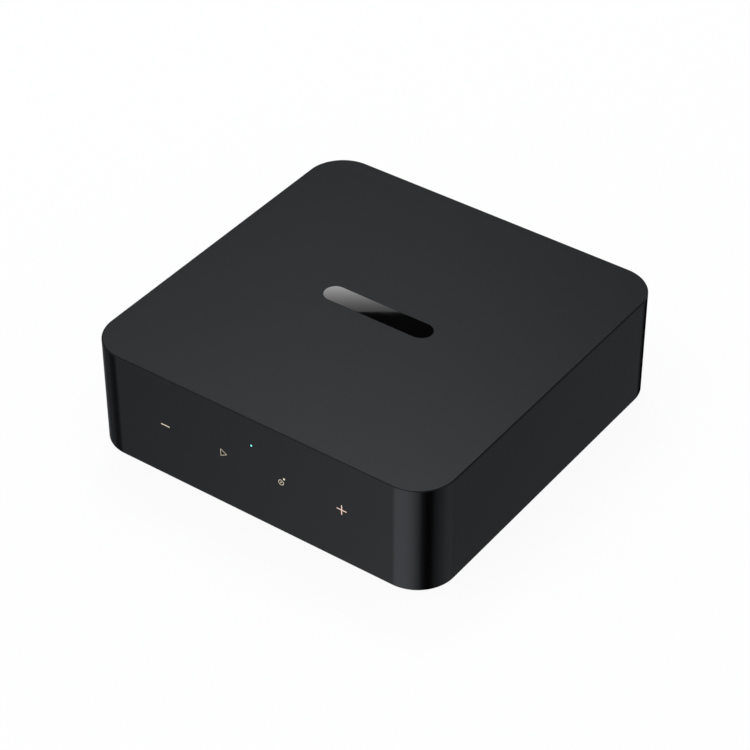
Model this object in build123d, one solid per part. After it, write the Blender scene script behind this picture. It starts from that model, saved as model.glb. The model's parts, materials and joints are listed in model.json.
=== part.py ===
"""A small square network music streamer for a home audio system.

The body is a moulded upper shell over a screwed base with a rubber foot pad. A separate rear panel
holds the sockets, which stand on one main board. The origin is the centre of the foot pad's
underside, the front faces -Y, the sockets face +Y, and +Z is up. All sizes are in millimetres.
"""

from build123d import *
from math import pi, radians, tan
import os

# Cuts run past the faces that they open by this much
overrun = 1.0

# Body
body_width = 140.0
body_depth = 140.0
body_height = 42.0
corner_radius = 14.2
top_edge_radius = 0.5
bottom_edge_radius = 0.3
wall = 2.2
roof_thickness = 2.4
shell_bottom = 0.15
roof_corner_radius = 1.2

# Flush inlay in the middle of the top
inlay_length = 44.0
inlay_width = 8.5
inlay_thickness = 0.6
inlay_gap = 0.05

# Foot pad and base
pad_thickness = 1.5
pad_margin = 6.5
pad_corner_radius = 9.0
pad_gap = 0.2
base_thickness = 2.75
base_gap = 0.15
lip_height = 3.0
lip_thickness = 1.4
lip_cut_gap = 0.5

# Corner screws and the posts that they join
screw_inset = 12.5
boss_radius = 3.4
boss_hole_radius = 1.35
boss_hole_depth = 11.0
post_height = 2.5
screw_radius = 1.25
screw_length = 10.5
screw_clear_radius = 1.5
head_radius = 2.6
head_height = 1.6
head_gap = 0.25
socket_radius = 1.1
socket_depth = 0.9
gusset_thickness = 1.2
gusset_lift = 6.0

# Stiffening ribs under the top
rib_thickness = 1.2
rib_height = 1.8
rib_end_gap = 14.0
rib_shares = (-0.32, -0.16, 0.16, 0.32)

# Rear panel, which stands on the base inside a notch in the shell's rear wall
panel_recess = 0.4
panel_gap = 0.15
panel_corner_radius = 2.0
flange_lap = 1.6
flange_rim = 1.2
flange_thickness = 1.2
flange_end_gap = 0.4
port_gap = 0.2

# Main board and its standoffs
board_thickness = 1.6
board_lift = 4.1
board_side_gap = 7.8
board_front_gap = 18.0
board_rear_gap = 0.6
board_notch_gap = 1.2
board_corner_radius = 1.5
standoff_radius = 3.0
standoff_hole_radius = 1.2
standoff_inset = 7.0
standoff_rear_gap = 27.0
board_hole_radius = 1.3
board_screw_radius = 1.1
board_screw_length = 5.2
board_head_radius = 2.3
board_head_height = 1.4

# Stacked and single phono sockets. The room between the board and the panel's upper rim is divided
# in the ratio of the first height, the pitch, the head room and the rim gap, and fits them exactly here.
phono_block_width = 9.6
phono_block_depth = 12.0
phono_first_height = 6.2
phono_pitch = 13.0
phono_head_room = 5.6
phono_rim_gap = 1.8
phono_edge_radius = 0.6
barrel_radius = 4.15
barrel_bore_radius = 3.55
barrel_length = 8.2
barrel_edge = 0.3
collar_radius = 4.45
collar_depth = 3.0
collar_stand = 0.2
insulator_gap = 0.05
insulator_recess = 0.6
pin_hole_radius = 1.65
pin_hole_length = 7.2
contact_radius = 2.25
contact_bore_radius = 1.85
contact_gap = 0.05
contact_depth = 5.2
contact_floor = 0.8

# Optical sockets with a hinged shutter behind the mouth
optical_width = 10.4
optical_floor = 0.8
optical_side = 0.7
optical_recess = 0.2
optical_lip = 0.7
mouth_width = 8.2
mouth_height = 8.3
mouth_chamfer = 1.6
shutter_thickness = 1.0
shutter_face_gap = 0.05
shutter_side_gap = 0.15
shutter_lap = 0.25
shutter_foot_gap = 0.3
hinge_drop = 1.1
hinge_head_room = 0.85
hinge_gap = 0.06
hinge_pin_end_gap = 0.15
shutter_swing_room = 0.5
optical_back_depth = 4.3
ferrule_radius = 2.4
ferrule_bore_radius = 1.1
ferrule_stand = 0.4
transceiver_wall = 0.8
grip_depth = 0.3
grip_width = 4.6
grip_height = 0.9
grip_rise_share = 0.3

# Network socket
network_width = 16.0
network_height = 13.4
network_depth = 21.4
network_recess = 0.1
network_sheet = 0.3
network_rim = 0.9
network_edge_radius = 0.5
jack_width = 11.9
jack_height = 6.8
latch_width = 6.2
latch_height = 1.5
latch_slot_width = 3.4
latch_slot_height = 1.3
jack_floor = 0.6
jack_depth = 13.0
wire_count = 8
wire_pitch = 1.02
wire_width = 0.45
wire_thickness = 0.35
wire_reach = 6.4
wire_drop = 2.0
wire_front_gap = 4.2
window_width = 2.6
window_height = 1.4
window_depth = 3.6
window_edge_gap = 0.4

# Power socket
power_width = 8.94
power_height = 3.16
power_depth = 8.0
power_sheet = 0.3
power_back = 2.6
tongue_width = 6.6
tongue_thickness = 0.7
tongue_recess = 0.6

# Trigger socket
trigger_width = 6.5
trigger_height = 6.2
trigger_depth = 14.0
trigger_edge_radius = 0.4
nose_radius = 2.9
nose_stand = 0.3
trigger_bore_radius = 1.8
trigger_floor = 1.2
bush_radius = 2.4
bush_bore_radius = 1.98

# Compute module, its shield and the heat spreader
module_width = 40.0
module_depth = 28.0
module_thickness = 1.0
module_share = -0.10
pad_hole_radius = 0.35
pad_hole_pitch = 2.0
pad_hole_count = 12
shield_width = 28.0
shield_depth = 22.0
shield_height = 2.4
shield_sheet = 0.3
shield_corner_radius = 0.8
shield_hole_radius = 0.6
shield_hole_pitch = 4.0
thermal_side = 19.0
thermal_thickness = 1.0
spreader_width = 29.0
spreader_span = 36.0
spreader_foot = 7.5
spreader_thickness = 1.5
spreader_bend_radius = 0.6
rivet_inset = 4.0
rivet_radius = 1.1
rivet_clear = 0.15
rivet_head_radius = 2.1
rivet_head_height = 0.8
rivet_tail = 1.0

# Board components
chip_thickness = 0.9
chip_side = 9.0
chip_edge = 0.25
can_radius = 3.1
can_height = 7.6
can_edge = 0.5
can_base_height = 0.8
can_neck = 0.3
coil_side = 7.0
coil_height = 3.8
coil_corner_radius = 1.0
coil_dish_radius = 2.6
coil_dish_depth = 0.4

# Touch board behind the front wall, between the front bosses, with its keys in one row
key_count = 4
key_margin = 9.55
key_height = 21.3
key_pad_radius = 5.0
key_pad_thickness = 1.0
touch_end_gap = 11.5
touch_thickness = 1.0
touch_below = 8.7
touch_roof_gap = 6.2
rail_thickness = 1.4
rail_overlap = 1.6
rail_gap = 0.1
blade_width = 6.0
blade_thickness = 1.6
blade_share = 0.38
blade_gap = 0.3

# Status light
light_drop = 2.5
light_radius = 0.35
light_hole_gap = 0.03
light_flange_radius = 1.0
light_flange_thickness = 0.3
led_width = 1.6
led_height = 0.8
led_gap = 0.1

# Flat flex between the touch board and the main board
ribbon_width = 8.0
ribbon_thickness = 0.3
ribbon_bend_radius = 2.0
ribbon_share = 0.14
plug_width = 11.0
plug_depth = 4.6
plug_height = 2.2
ribbon_slot_gap = 0.1
ribbon_entry = 2.4
plug_lift = 11.0
plug_set_back = 4.0

# Flexible antennas on the side walls and their coaxial leads
antenna_length = 34.0
antenna_height = 10.0
antenna_thickness = 0.3
antenna_rise = 26.0
antenna_share = -0.14
antenna_corner_radius = 1.0
antenna_slot_width = 1.2
antenna_slot_share = 0.62
lead_radius = 0.57
lead_plug_radius = 1.5
lead_plug_height = 1.25
lead_plug_inset = 2.6
lead_bend_share = 0.45

# Half sizes and levels that follow
half_width = body_width / 2
half_depth = body_depth / 2
inner_half_width = half_width - wall
inner_half_depth = half_depth - wall
inner_radius = corner_radius - wall
roof_inside = body_height - roof_thickness
base_top = shell_bottom + base_thickness
boss_bottom = base_top + post_height
board_bottom = base_top + board_lift
board_top = board_bottom + board_thickness
screw_x = half_width - screw_inset
screw_y = half_depth - screw_inset
pad_width = body_width - 2 * pad_margin
pad_depth = body_depth - 2 * pad_margin

# Rear panel levels
panel_face = half_depth - panel_recess
panel_inner = inner_half_depth
flange_half = half_width - corner_radius - flange_end_gap
notch_half = flange_half - flange_lap
pocket_half = notch_half - flange_rim
flange_top = roof_inside - roof_corner_radius - flange_end_gap
notch_top = flange_top - flange_lap
pocket_top = notch_top - flange_rim

# Board outline
board_half_width = inner_half_width - board_side_gap
board_front = board_front_gap - inner_half_depth
board_rear = inner_half_depth - board_rear_gap
board_neck = min(screw_x - boss_radius - board_notch_gap, pocket_half - board_rear_gap)
board_shoulder = screw_y - boss_radius - board_notch_gap

# Optical socket levels, from the board up
optical_bottom = board_top
shutter_foot = optical_bottom + optical_floor + shutter_foot_gap
mouth_bottom = shutter_foot + shutter_lap
mouth_top = mouth_bottom + mouth_height
hinge_z = mouth_top + hinge_drop
cavity_top = hinge_z + hinge_head_room
optical_top = cavity_top + optical_floor
optical_face = panel_face - optical_recess
lip_inside = optical_face - optical_lip
hinge_y = lip_inside - shutter_face_gap - shutter_thickness / 2
shutter_reach = hinge_z - shutter_foot
cavity_back = hinge_y - shutter_reach - shutter_swing_room
optical_back = cavity_back - optical_back_depth
cavity_width = optical_width - 2 * optical_side
shutter_width = cavity_width - 2 * shutter_side_gap
hinge_bore_radius = shutter_thickness / 2 + hinge_gap

# Network socket levels
network_top = board_top + network_height
network_face = panel_face - network_recess
insert_face = network_face - network_sheet
insert_back = network_face - network_depth + network_sheet
latch_bottom = board_top + network_sheet + jack_floor
jack_bottom = latch_bottom + latch_slot_height + latch_height
jack_top = jack_bottom + jack_height

# Power and trigger socket levels
power_z = board_top + power_height / 2
power_face = panel_face
trigger_z = board_top + trigger_height / 2
trigger_front = panel_inner
trigger_bore_front = trigger_front - port_gap

# Module levels
module_y = module_share * body_depth
shield_bottom = board_top + module_thickness
shield_top = shield_bottom + shield_height
spreader_bottom = shield_top + thermal_thickness

# Touch board levels
front_inner = -inner_half_depth
touch_front = front_inner + key_pad_thickness
touch_back = touch_front + touch_thickness
touch_bottom = key_height - touch_below
touch_top = roof_inside - touch_roof_gap
touch_length = 2 * (screw_x - touch_end_gap)
key_pitch = (touch_length - 2 * key_margin) / (key_count - 1)
light_z = touch_top - light_drop


def port_centres():
    """X of each socket's middle, from the left seen from the rear, with equal gaps between them."""
    widths = {
        "line_in": phono_block_width,
        "line_out": phono_block_width,
        "optical_in": optical_width,
        "optical_out": optical_width,
        "coax": phono_block_width,
        "trigger": trigger_width,
        "network": network_width,
        "power": power_width,
    }
    gap = (2 * pocket_half - sum(widths.values())) / (len(widths) + 1)
    centres = {}
    edge = pocket_half
    for name, width in widths.items():
        edge -= gap
        centres[name] = edge - width / 2
        edge -= width
    return centres


ports = port_centres()
phono_stack = phono_first_height + phono_pitch + phono_head_room + phono_rim_gap
phono_fit = (pocket_top - board_top) / phono_stack
phono_low = board_top + phono_fit * phono_first_height
phono_high = phono_low + phono_fit * phono_pitch
phono_sockets = {
    "line_in_left": (ports["line_in"], phono_high),
    "line_in_right": (ports["line_in"], phono_low),
    "line_out_left": (ports["line_out"], phono_high),
    "line_out_right": (ports["line_out"], phono_low),
    "coax": (ports["coax"], phono_low),
}


def through_x(outline, low, high):
    """The outline, drawn in Y and Z, carried from x = low to x = high."""
    return extrude(Plane.YZ.offset(low) * outline, high - low)


def through_y(outline, low, high):
    """The outline, drawn in X and Z, carried from y = low to y = high."""
    return extrude(Plane.XZ.offset(-high) * outline, high - low)


def through_z(outline, low, high):
    """The outline, drawn in X and Y, carried from z = low to z = high."""
    return extrude(Plane.XY.offset(low) * outline, high - low)


def block(x_span, y_span, z_span):
    """A box between two places on each axis."""
    (x0, x1), (y0, y1), (z0, z1) = x_span, y_span, z_span
    middle = Pos((x0 + x1) / 2, (y0 + y1) / 2, (z0 + z1) / 2)
    return middle * Box(x1 - x0, y1 - y0, z1 - z0)


def turned_y(points):
    """A profile of radius and y, turned about the Y axis."""
    return revolve(make_face(Polyline(*points, close=True)), Axis.Y)


def turned_z(points):
    """A profile of radius and z, turned about the Z axis."""
    return revolve(Plane.XZ * make_face(Polyline(*points, close=True)), Axis.Z)


def corner_places(x, y):
    """The four places at plus and minus x and y."""
    return [(sx * x, sy * y) for sx in (-1, 1) for sy in (-1, 1)]


def shell_walls():
    """The top and the four walls in one piece, with rounded edges outside and in."""
    outline = RectangleRounded(body_width, body_depth, corner_radius)
    outer = through_z(outline, shell_bottom, body_height)
    outer = fillet(outer.edges().group_by(Axis.Z)[-1], top_edge_radius)
    outer = fillet(outer.edges().group_by(Axis.Z)[0], bottom_edge_radius)
    hollow = RectangleRounded(2 * inner_half_width, 2 * inner_half_depth, inner_radius)
    room = through_z(hollow, shell_bottom - overrun, roof_inside)
    room = fillet(room.edges().group_by(Axis.Z)[-1], roof_corner_radius)
    return outer - room


def shell_boss(x, y):
    """A hollow screw boss down from the top, with a gusset to each of the two walls beside it."""
    side = 1 if x > 0 else -1
    end = 1 if y > 0 else -1
    boss = through_z(Pos(x, y) * Circle(boss_radius), boss_bottom, roof_inside + overrun)
    levels = (boss_bottom + gusset_lift, roof_inside + overrun)
    half = gusset_thickness / 2
    reach_x = sorted((x, side * (inner_half_width + wall / 2)))
    reach_y = sorted((y, end * (inner_half_depth + wall / 2)))
    boss += block(reach_x, (y - half, y + half), levels)
    boss += block((x - half, x + half), reach_y, levels)
    hole_top = boss_bottom + boss_hole_depth
    return boss - through_z(Pos(x, y) * Circle(boss_hole_radius), boss_bottom - overrun, hole_top)


def roof_ribs():
    """Ribs under the top that keep the flat face stiff."""
    half = rib_thickness / 2
    reach = inner_half_depth - rib_end_gap
    ribs = []
    for share in rib_shares:
        x = share * body_width
        levels = (roof_inside - rib_height, roof_inside + overrun)
        ribs.append(block((x - half, x + half), (-reach, reach), levels))
    return ribs


def touch_rail(side):
    """A slotted rail on the front wall that the touch board's end slides into from below."""
    end = touch_length / 2 + rail_gap
    out = end + rail_thickness
    tip = touch_length / 2 - rail_overlap
    slot_front = touch_front - rail_gap
    slot_back = touch_back + rail_gap
    root = front_inner - wall / 2
    back = slot_back + rail_thickness
    stop = touch_top + rail_gap
    profile = [
        (side * tip, root), (side * out, root), (side * out, back), (side * tip, back),
        (side * tip, slot_back), (side * end, slot_back), (side * end, slot_front), (side * tip, slot_front),
    ]
    rail = through_z(make_face(Polyline(*profile, close=True)), touch_bottom, stop)
    cap = block(sorted((side * tip, side * out)), (root, back), (stop, stop + rail_thickness))
    return rail + cap


def upper_shell():
    """The moulded housing: walls, bosses, ribs, touch board rails, and the openings in it."""
    shell = shell_walls()
    for x, y in corner_places(screw_x, screw_y):
        shell += shell_boss(x, y)
    for rib in roof_ribs():
        shell += rib
    for side in (-1, 1):
        shell += touch_rail(side)
    notch_height = notch_top - shell_bottom + panel_corner_radius + overrun
    notch = RectangleRounded(2 * notch_half, notch_height, panel_corner_radius)
    notch = Pos(0, notch_top - notch_height / 2) * notch
    shell -= through_y(notch, inner_half_depth - gusset_thickness, half_depth + overrun)
    pocket = SlotOverall(inlay_length + 2 * inlay_gap, inlay_width + 2 * inlay_gap)
    shell -= through_z(pocket, body_height - inlay_thickness, body_height + overrun)
    light_hole = Pos(0, light_z) * Circle(light_radius + light_hole_gap)
    return shell - through_y(light_hole, -half_depth - overrun, front_inner + overrun)


def top_inlay():
    """The plain flush inlay in the middle of the top."""
    return through_z(SlotOverall(inlay_length, inlay_width), body_height - inlay_thickness, body_height)


def foot_pad():
    """The rubber pad that the body stands on."""
    outline = RectangleRounded(pad_width, pad_depth, pad_corner_radius)
    pad = through_z(outline, 0, pad_thickness)
    return chamfer(pad.edges().group_by(Axis.Z)[0], pad_gap)


def base_lip():
    """The rim that stands up just inside the shell's side and front walls."""
    outer = RectangleRounded(
        2 * (inner_half_width - base_gap), 2 * (inner_half_depth - base_gap), inner_radius - base_gap
    )
    inset = base_gap + lip_thickness
    inner = RectangleRounded(
        2 * (inner_half_width - inset), 2 * (inner_half_depth - inset), inner_radius - inset
    )
    lip = through_z(outer - inner, base_top - base_thickness / 2, base_top + lip_height)
    reach = flange_half + lip_cut_gap
    deep = inner_half_depth - flange_thickness - lip_thickness - lip_cut_gap
    return lip - block((-reach, reach), (deep, half_depth), (base_top, base_top + lip_height + overrun))


def base_plate():
    """The base: a tray with screw posts, board standoffs, a pad recess and blades under the touch board."""
    outline = RectangleRounded(
        2 * (inner_half_width - base_gap), 2 * (inner_half_depth - base_gap), inner_radius - base_gap
    )
    base = through_z(outline, shell_bottom, base_top)
    sill = notch_half - panel_gap
    base += block((-sill, sill), (inner_half_depth - inner_radius, panel_face), (shell_bottom, base_top))
    base += base_lip()
    for x, y in corner_places(screw_x, screw_y):
        base += through_z(Pos(x, y) * Circle(boss_radius), base_top - base_thickness / 2, boss_bottom)
    for x, y in board_fixings():
        base += through_z(Pos(x, y) * Circle(standoff_radius), base_top - base_thickness / 2, board_bottom)
    for side in (-1, 1):
        x = side * blade_share * touch_length
        spans = (x - blade_width / 2, x + blade_width / 2), (touch_front, touch_front + blade_thickness)
        base += block(*spans, (base_top - base_thickness / 2, touch_bottom - blade_gap))
    recess = RectangleRounded(pad_width + 2 * pad_gap, pad_depth + 2 * pad_gap, pad_corner_radius + pad_gap)
    base -= through_z(recess, shell_bottom - overrun, pad_thickness)
    seat = boss_bottom - head_seat_thickness()
    low = shell_bottom - overrun
    for x, y in corner_places(screw_x, screw_y):
        base -= through_z(Pos(x, y) * Circle(screw_clear_radius), low, boss_bottom + overrun)
        base -= through_z(Pos(x, y) * Circle(head_radius + head_gap), low, seat)
    for x, y in board_fixings():
        hole = Pos(x, y) * Circle(standoff_hole_radius)
        base -= through_z(hole, base_top, board_bottom + overrun)
    return base


def head_seat_thickness():
    """Thickness of the floor that each corner screw's head pulls up against."""
    return boss_bottom - pad_thickness - head_height - head_gap


def board_fixings():
    """Where screws hold the main board to the base."""
    x = board_half_width - standoff_inset
    front = board_front + standoff_inset
    rear = inner_half_depth - standoff_rear_gap
    return [(sx * x, y) for sx in (-1, 1) for y in (front, rear)]


def turned_screw(radius, length, cap_radius, cap_height, drive_radius, drive_depth):
    """A screw that points up from its head, whose bearing face lies at z = 0, with a plain drive recess."""
    screw = turned_z([
        (0, -cap_height), (cap_radius, -cap_height), (cap_radius, 0), (radius, 0),
        (radius, length - radius), (0, length),
    ])
    drive = Plane.XY.offset(-cap_height) * RegularPolygon(drive_radius, 6)
    return screw - extrude(drive, drive_depth)


def base_screws():
    """The four screws that join the base to the shell, hidden by the foot pad."""
    seat = boss_bottom - head_seat_thickness()
    screw = turned_screw(screw_radius, screw_length, head_radius, head_height, socket_radius, socket_depth)
    return [Pos(x, y, seat) * screw for x, y in corner_places(screw_x, screw_y)]


def board_screws():
    """The four screws that hold the main board down on its standoffs."""
    screw = turned_screw(
        board_screw_radius, board_screw_length, board_head_radius, board_head_height,
        socket_radius, socket_depth,
    )
    return [Pos(x, y, board_top) * Rot(180, 0, 0) * screw for x, y in board_fixings()]


def port_openings():
    """Outlines of the openings in the rear panel, in X and Z."""
    openings = [Pos(x, z) * Circle(collar_radius + port_gap) for x, z in phono_sockets.values()]
    for name in ("optical_in", "optical_out"):
        size = (optical_width + 2 * port_gap, optical_top - optical_bottom + 2 * port_gap)
        middle = (optical_bottom + optical_top) / 2
        openings.append(Pos(ports[name], middle) * Rectangle(*size))
    size = (network_width + 2 * port_gap, network_height + 2 * port_gap)
    middle = board_top + network_height / 2
    openings.append(Pos(ports["network"], middle) * RectangleRounded(*size, network_edge_radius + port_gap))
    size = (power_width + 2 * port_gap, power_height + 2 * port_gap)
    openings.append(Pos(ports["power"], power_z) * SlotOverall(*size))
    openings.append(Pos(ports["trigger"], trigger_z) * Circle(nose_radius + port_gap))
    return openings


def rear_panel():
    """The panel round the sockets, with a flange that laps the shell's rear wall from inside."""
    plate_height = notch_top - panel_gap - base_top
    plate = Pos(0, base_top + plate_height / 2) * Rectangle(2 * (notch_half - panel_gap), plate_height)
    plate = fillet(plate.vertices().group_by(Axis.Y)[-1], panel_corner_radius - panel_gap)
    panel = through_y(plate, panel_inner, panel_face)
    flange_height = flange_top - base_top
    flange = Pos(0, base_top + flange_height / 2) * Rectangle(2 * flange_half, flange_height)
    pocket_height = pocket_top - base_top - flange_rim
    pocket = Pos(0, base_top + flange_rim + pocket_height / 2) * Rectangle(2 * pocket_half, pocket_height)
    panel += through_y(flange - pocket, panel_inner - flange_thickness, panel_inner)
    for opening in port_openings():
        panel -= through_y(opening, panel_inner - flange_thickness - overrun, panel_face + overrun)
    return panel


def main_board():
    """The main board, necked at the rear to pass between the corner bosses."""
    outline = make_face(Polyline(
        (-board_half_width, board_front), (board_half_width, board_front),
        (board_half_width, board_shoulder), (board_neck, board_shoulder),
        (board_neck, board_rear), (-board_neck, board_rear),
        (-board_neck, board_shoulder), (-board_half_width, board_shoulder), close=True,
    ))
    outline = fillet(outline.vertices(), board_corner_radius)
    for x, y in board_fixings():
        outline -= Pos(x, y) * Circle(board_hole_radius)
    for x, y in rivet_places():
        outline -= Pos(x, y) * Circle(rivet_radius + rivet_clear)
    return through_z(outline, board_bottom, board_top)


def phono_block(x, levels):
    """The moulded block that carries one or two phono sockets, with a pocket for each barrel."""
    top = max(levels) + phono_fit * phono_head_room
    half = phono_block_width / 2
    body = block(
        (x - half, x + half), (panel_inner - phono_block_depth, panel_inner), (board_top, top)
    )
    body = fillet(body.edges().filter_by(Axis.Y), phono_edge_radius)
    for z in levels:
        pocket = Pos(x, z) * Circle(collar_radius + insulator_gap)
        body -= through_y(pocket, panel_inner - collar_depth, panel_inner + overrun)
        core = Pos(x, z) * Circle(contact_radius + contact_gap)
        body -= through_y(core, panel_inner - collar_depth - contact_depth, panel_inner)
    return body


def phono_barrel():
    """The plated outer sleeve of a phono socket, with its collar in the block and a bevelled mouth."""
    root = panel_inner - collar_depth
    shoulder = panel_face + collar_stand
    tip = shoulder + barrel_length
    return turned_y([
        (barrel_bore_radius, root), (collar_radius, root), (collar_radius, shoulder),
        (barrel_radius, shoulder), (barrel_radius, tip - barrel_edge),
        (barrel_radius - barrel_edge, tip), (barrel_bore_radius, tip),
    ])


def phono_insulator():
    """The coloured insulator inside a barrel, with the hole for the plug's pin."""
    root = panel_inner - collar_depth
    face = panel_face + collar_stand + barrel_length - insulator_recess
    outer = barrel_bore_radius - insulator_gap
    wide = contact_radius + contact_gap
    step = face - pin_hole_length
    return turned_y([
        (wide, root), (outer, root), (outer, face), (pin_hole_radius, face),
        (pin_hole_radius, step), (wide, step),
    ])


def phono_contact():
    """The centre contact: a tube behind the insulator's hole, closed at its inner end."""
    root = panel_inner - collar_depth - contact_depth
    face = panel_face + collar_stand + barrel_length - insulator_recess
    tip = face - pin_hole_length
    return turned_y([
        (0, root), (contact_radius, root), (contact_radius, tip), (contact_bore_radius, tip),
        (contact_bore_radius, root + contact_floor), (0, root + contact_floor),
    ])


def optical_mouth():
    """The mouth's outline: a square with two bevelled upper corners, about x = 0."""
    half = mouth_width / 2
    return make_face(Polyline(
        (-half, mouth_bottom), (half, mouth_bottom), (half, mouth_top - mouth_chamfer),
        (half - mouth_chamfer, mouth_top), (mouth_chamfer - half, mouth_top),
        (-half, mouth_top - mouth_chamfer), close=True,
    ))


def optical_housing(x):
    """The socket's moulded body: a chamber behind a lipped mouth, and hinge bores in its two sides."""
    half = optical_width / 2
    body = block((x - half, x + half), (optical_back, optical_face), (optical_bottom, optical_top))
    room = cavity_width / 2
    floor = optical_bottom + optical_floor
    body -= block((x - room, x + room), (cavity_back, lip_inside), (floor, cavity_top))
    body -= through_y(Pos(x, 0) * optical_mouth(), cavity_back, optical_face + overrun)
    body -= block((x - room, x + room), (optical_back - overrun, cavity_back), (floor, cavity_top))
    bore = Pos(hinge_y, hinge_z) * Circle(hinge_bore_radius)
    return body - through_x(bore, x - half - overrun, x + half + overrun)


def optical_shutter(x):
    """The hinged shutter: a plate with a round top edge that runs on into its two hinge pins."""
    half = shutter_width / 2
    thickness = shutter_thickness
    plate = Pos(hinge_y, (hinge_z + shutter_foot) / 2) * Rectangle(thickness, shutter_reach)
    plate += Pos(hinge_y, hinge_z) * Circle(thickness / 2)
    shutter = through_x(plate, x - half, x + half)
    reach = optical_width / 2 - hinge_pin_end_gap
    shutter += through_x(Pos(hinge_y, hinge_z) * Circle(thickness / 2), x - reach, x + reach)
    low = mouth_bottom + grip_rise_share * mouth_height
    groove = block(
        (x - grip_width / 2, x + grip_width / 2),
        (hinge_y + thickness / 2 - grip_depth, lip_inside), (low, low + grip_height),
    )
    return shutter - groove


def optical_element(x):
    """The light element that closes the chamber's back, with a ferrule that the plug's tip meets."""
    room = cavity_width / 2
    floor = optical_bottom + optical_floor
    body = block((x - room, x + room), (optical_back, cavity_back), (floor, cavity_top))
    middle = (mouth_bottom + mouth_top) / 2
    ferrule = Pos(x, middle) * Circle(ferrule_radius)
    body += through_y(ferrule, cavity_back, cavity_back + ferrule_stand)
    bore = Pos(x, middle) * Circle(ferrule_bore_radius)
    return body - through_y(bore, optical_back + transceiver_wall, cavity_back + ferrule_stand + overrun)


def jack_outline():
    """The network socket's opening: a wide slot with the two steps of the latch channel below it."""
    wide, latch, slot = jack_width / 2, latch_width / 2, latch_slot_width / 2
    step = latch_bottom + latch_slot_height
    return make_face(Polyline(
        (-slot, latch_bottom), (slot, latch_bottom), (slot, step), (latch, step),
        (latch, jack_bottom), (wide, jack_bottom), (wide, jack_top), (-wide, jack_top),
        (-wide, jack_bottom), (-latch, jack_bottom), (-latch, step), (-slot, step), close=True,
    ))


def network_shield():
    """The folded sheet round the network socket, open below and framed at the front."""
    x = ports["network"]
    outline = Pos(x, board_top + network_height / 2) * RectangleRounded(
        network_width, network_height, network_edge_radius
    )
    body = through_y(outline, network_face - network_depth, network_face)
    half = network_width / 2 - network_sheet
    body -= block(
        (x - half, x + half), (insert_back, insert_face), (board_top - overrun, network_top - network_sheet)
    )
    frame_width = network_width - 2 * network_rim
    frame_height = network_height - 2 * network_rim
    frame = Pos(x, board_top + network_height / 2) * Rectangle(frame_width, frame_height)
    return body - through_y(frame, insert_face - network_sheet, network_face + overrun)


def network_window_places():
    """Where the two small light windows sit, above the socket's opening."""
    x = ports["network"]
    reach = network_width / 2 - network_rim - window_edge_gap - window_width / 2
    z = network_top - network_rim - window_edge_gap - window_height / 2
    return [(x - reach, z), (x + reach, z)]


def network_insert():
    """The moulded body inside the shield, with the plug's opening and two window pockets."""
    x = ports["network"]
    half = network_width / 2 - network_sheet
    body = block(
        (x - half, x + half), (insert_back, insert_face),
        (board_top + network_sheet, network_top - network_sheet),
    )
    body -= through_y(Pos(x, 0) * jack_outline(), insert_face - jack_depth, insert_face + overrun)
    for wx, wz in network_window_places():
        pocket = Pos(wx, wz) * Rectangle(window_width, window_height)
        body -= through_y(pocket, insert_face - window_depth, insert_face + overrun)
    return body


def network_contacts():
    """The sprung wires that slope down and inward from the roof of the opening."""
    front = insert_face - wire_front_gap
    tip = front - wire_reach
    wire = make_face(Polyline(
        (front, jack_top), (tip, jack_top - wire_drop), (tip, jack_top - wire_drop + wire_thickness),
        (front - wire_thickness * wire_reach / wire_drop, jack_top), close=True,
    ))
    first = ports["network"] - wire_pitch * (wire_count - 1) / 2
    wires = []
    for index in range(wire_count):
        x = first + index * wire_pitch
        wires.append(through_x(wire, x - wire_width / 2, x + wire_width / 2))
    return wires


def network_windows():
    """The two clear windows that carry the socket's lights to its face."""
    windows = []
    for x, z in network_window_places():
        outline = Pos(x, z) * Rectangle(window_width, window_height)
        windows.append(through_y(outline, insert_face - window_depth, insert_face))
    return windows


def power_shell():
    """The drawn metal shell of the power socket, closed at the back."""
    x = ports["power"]
    outer = Pos(x, power_z) * SlotOverall(power_width, power_height)
    inner = Pos(x, power_z) * SlotOverall(power_width - 2 * power_sheet, power_height - 2 * power_sheet)
    back = power_face - power_depth
    body = through_y(outer, back, power_face)
    return body - through_y(inner, back + power_sheet, power_face + overrun)


def power_tongue():
    """The insulator at the back of the power socket with the thin tongue that carries the contacts."""
    x = ports["power"]
    inner = Pos(x, power_z) * SlotOverall(power_width - 2 * power_sheet, power_height - 2 * power_sheet)
    back = power_face - power_depth + power_sheet
    tongue = Pos(x, power_z) * Rectangle(tongue_width, tongue_thickness)
    return through_y(inner, back, back + power_back) + through_y(tongue, back, power_face - tongue_recess)


def trigger_body():
    """The trigger socket's moulded body with its round nose through the panel."""
    x = ports["trigger"]
    half = trigger_width / 2
    back = trigger_front - trigger_depth
    body = block((x - half, x + half), (back, trigger_front), (board_top, board_top + trigger_height))
    body = fillet(body.edges().filter_by(Axis.Y), trigger_edge_radius)
    nose = Pos(x, trigger_z) * Circle(nose_radius)
    body += through_y(nose, trigger_front - overrun, panel_face + nose_stand)
    bore = Pos(x, trigger_z) * Circle(trigger_bore_radius)
    body -= through_y(bore, back + trigger_floor, panel_face + overrun)
    seat = Pos(x, trigger_z) * Circle(bush_radius)
    return body - through_y(seat, trigger_bore_front, panel_face + nose_stand + overrun)


def trigger_bush():
    """The metal bush in the trigger socket's nose."""
    x = ports["trigger"]
    ring = Circle(bush_radius) - Circle(bush_bore_radius)
    return through_y(Pos(x, trigger_z) * ring, trigger_bore_front, panel_face + nose_stand)


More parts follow.
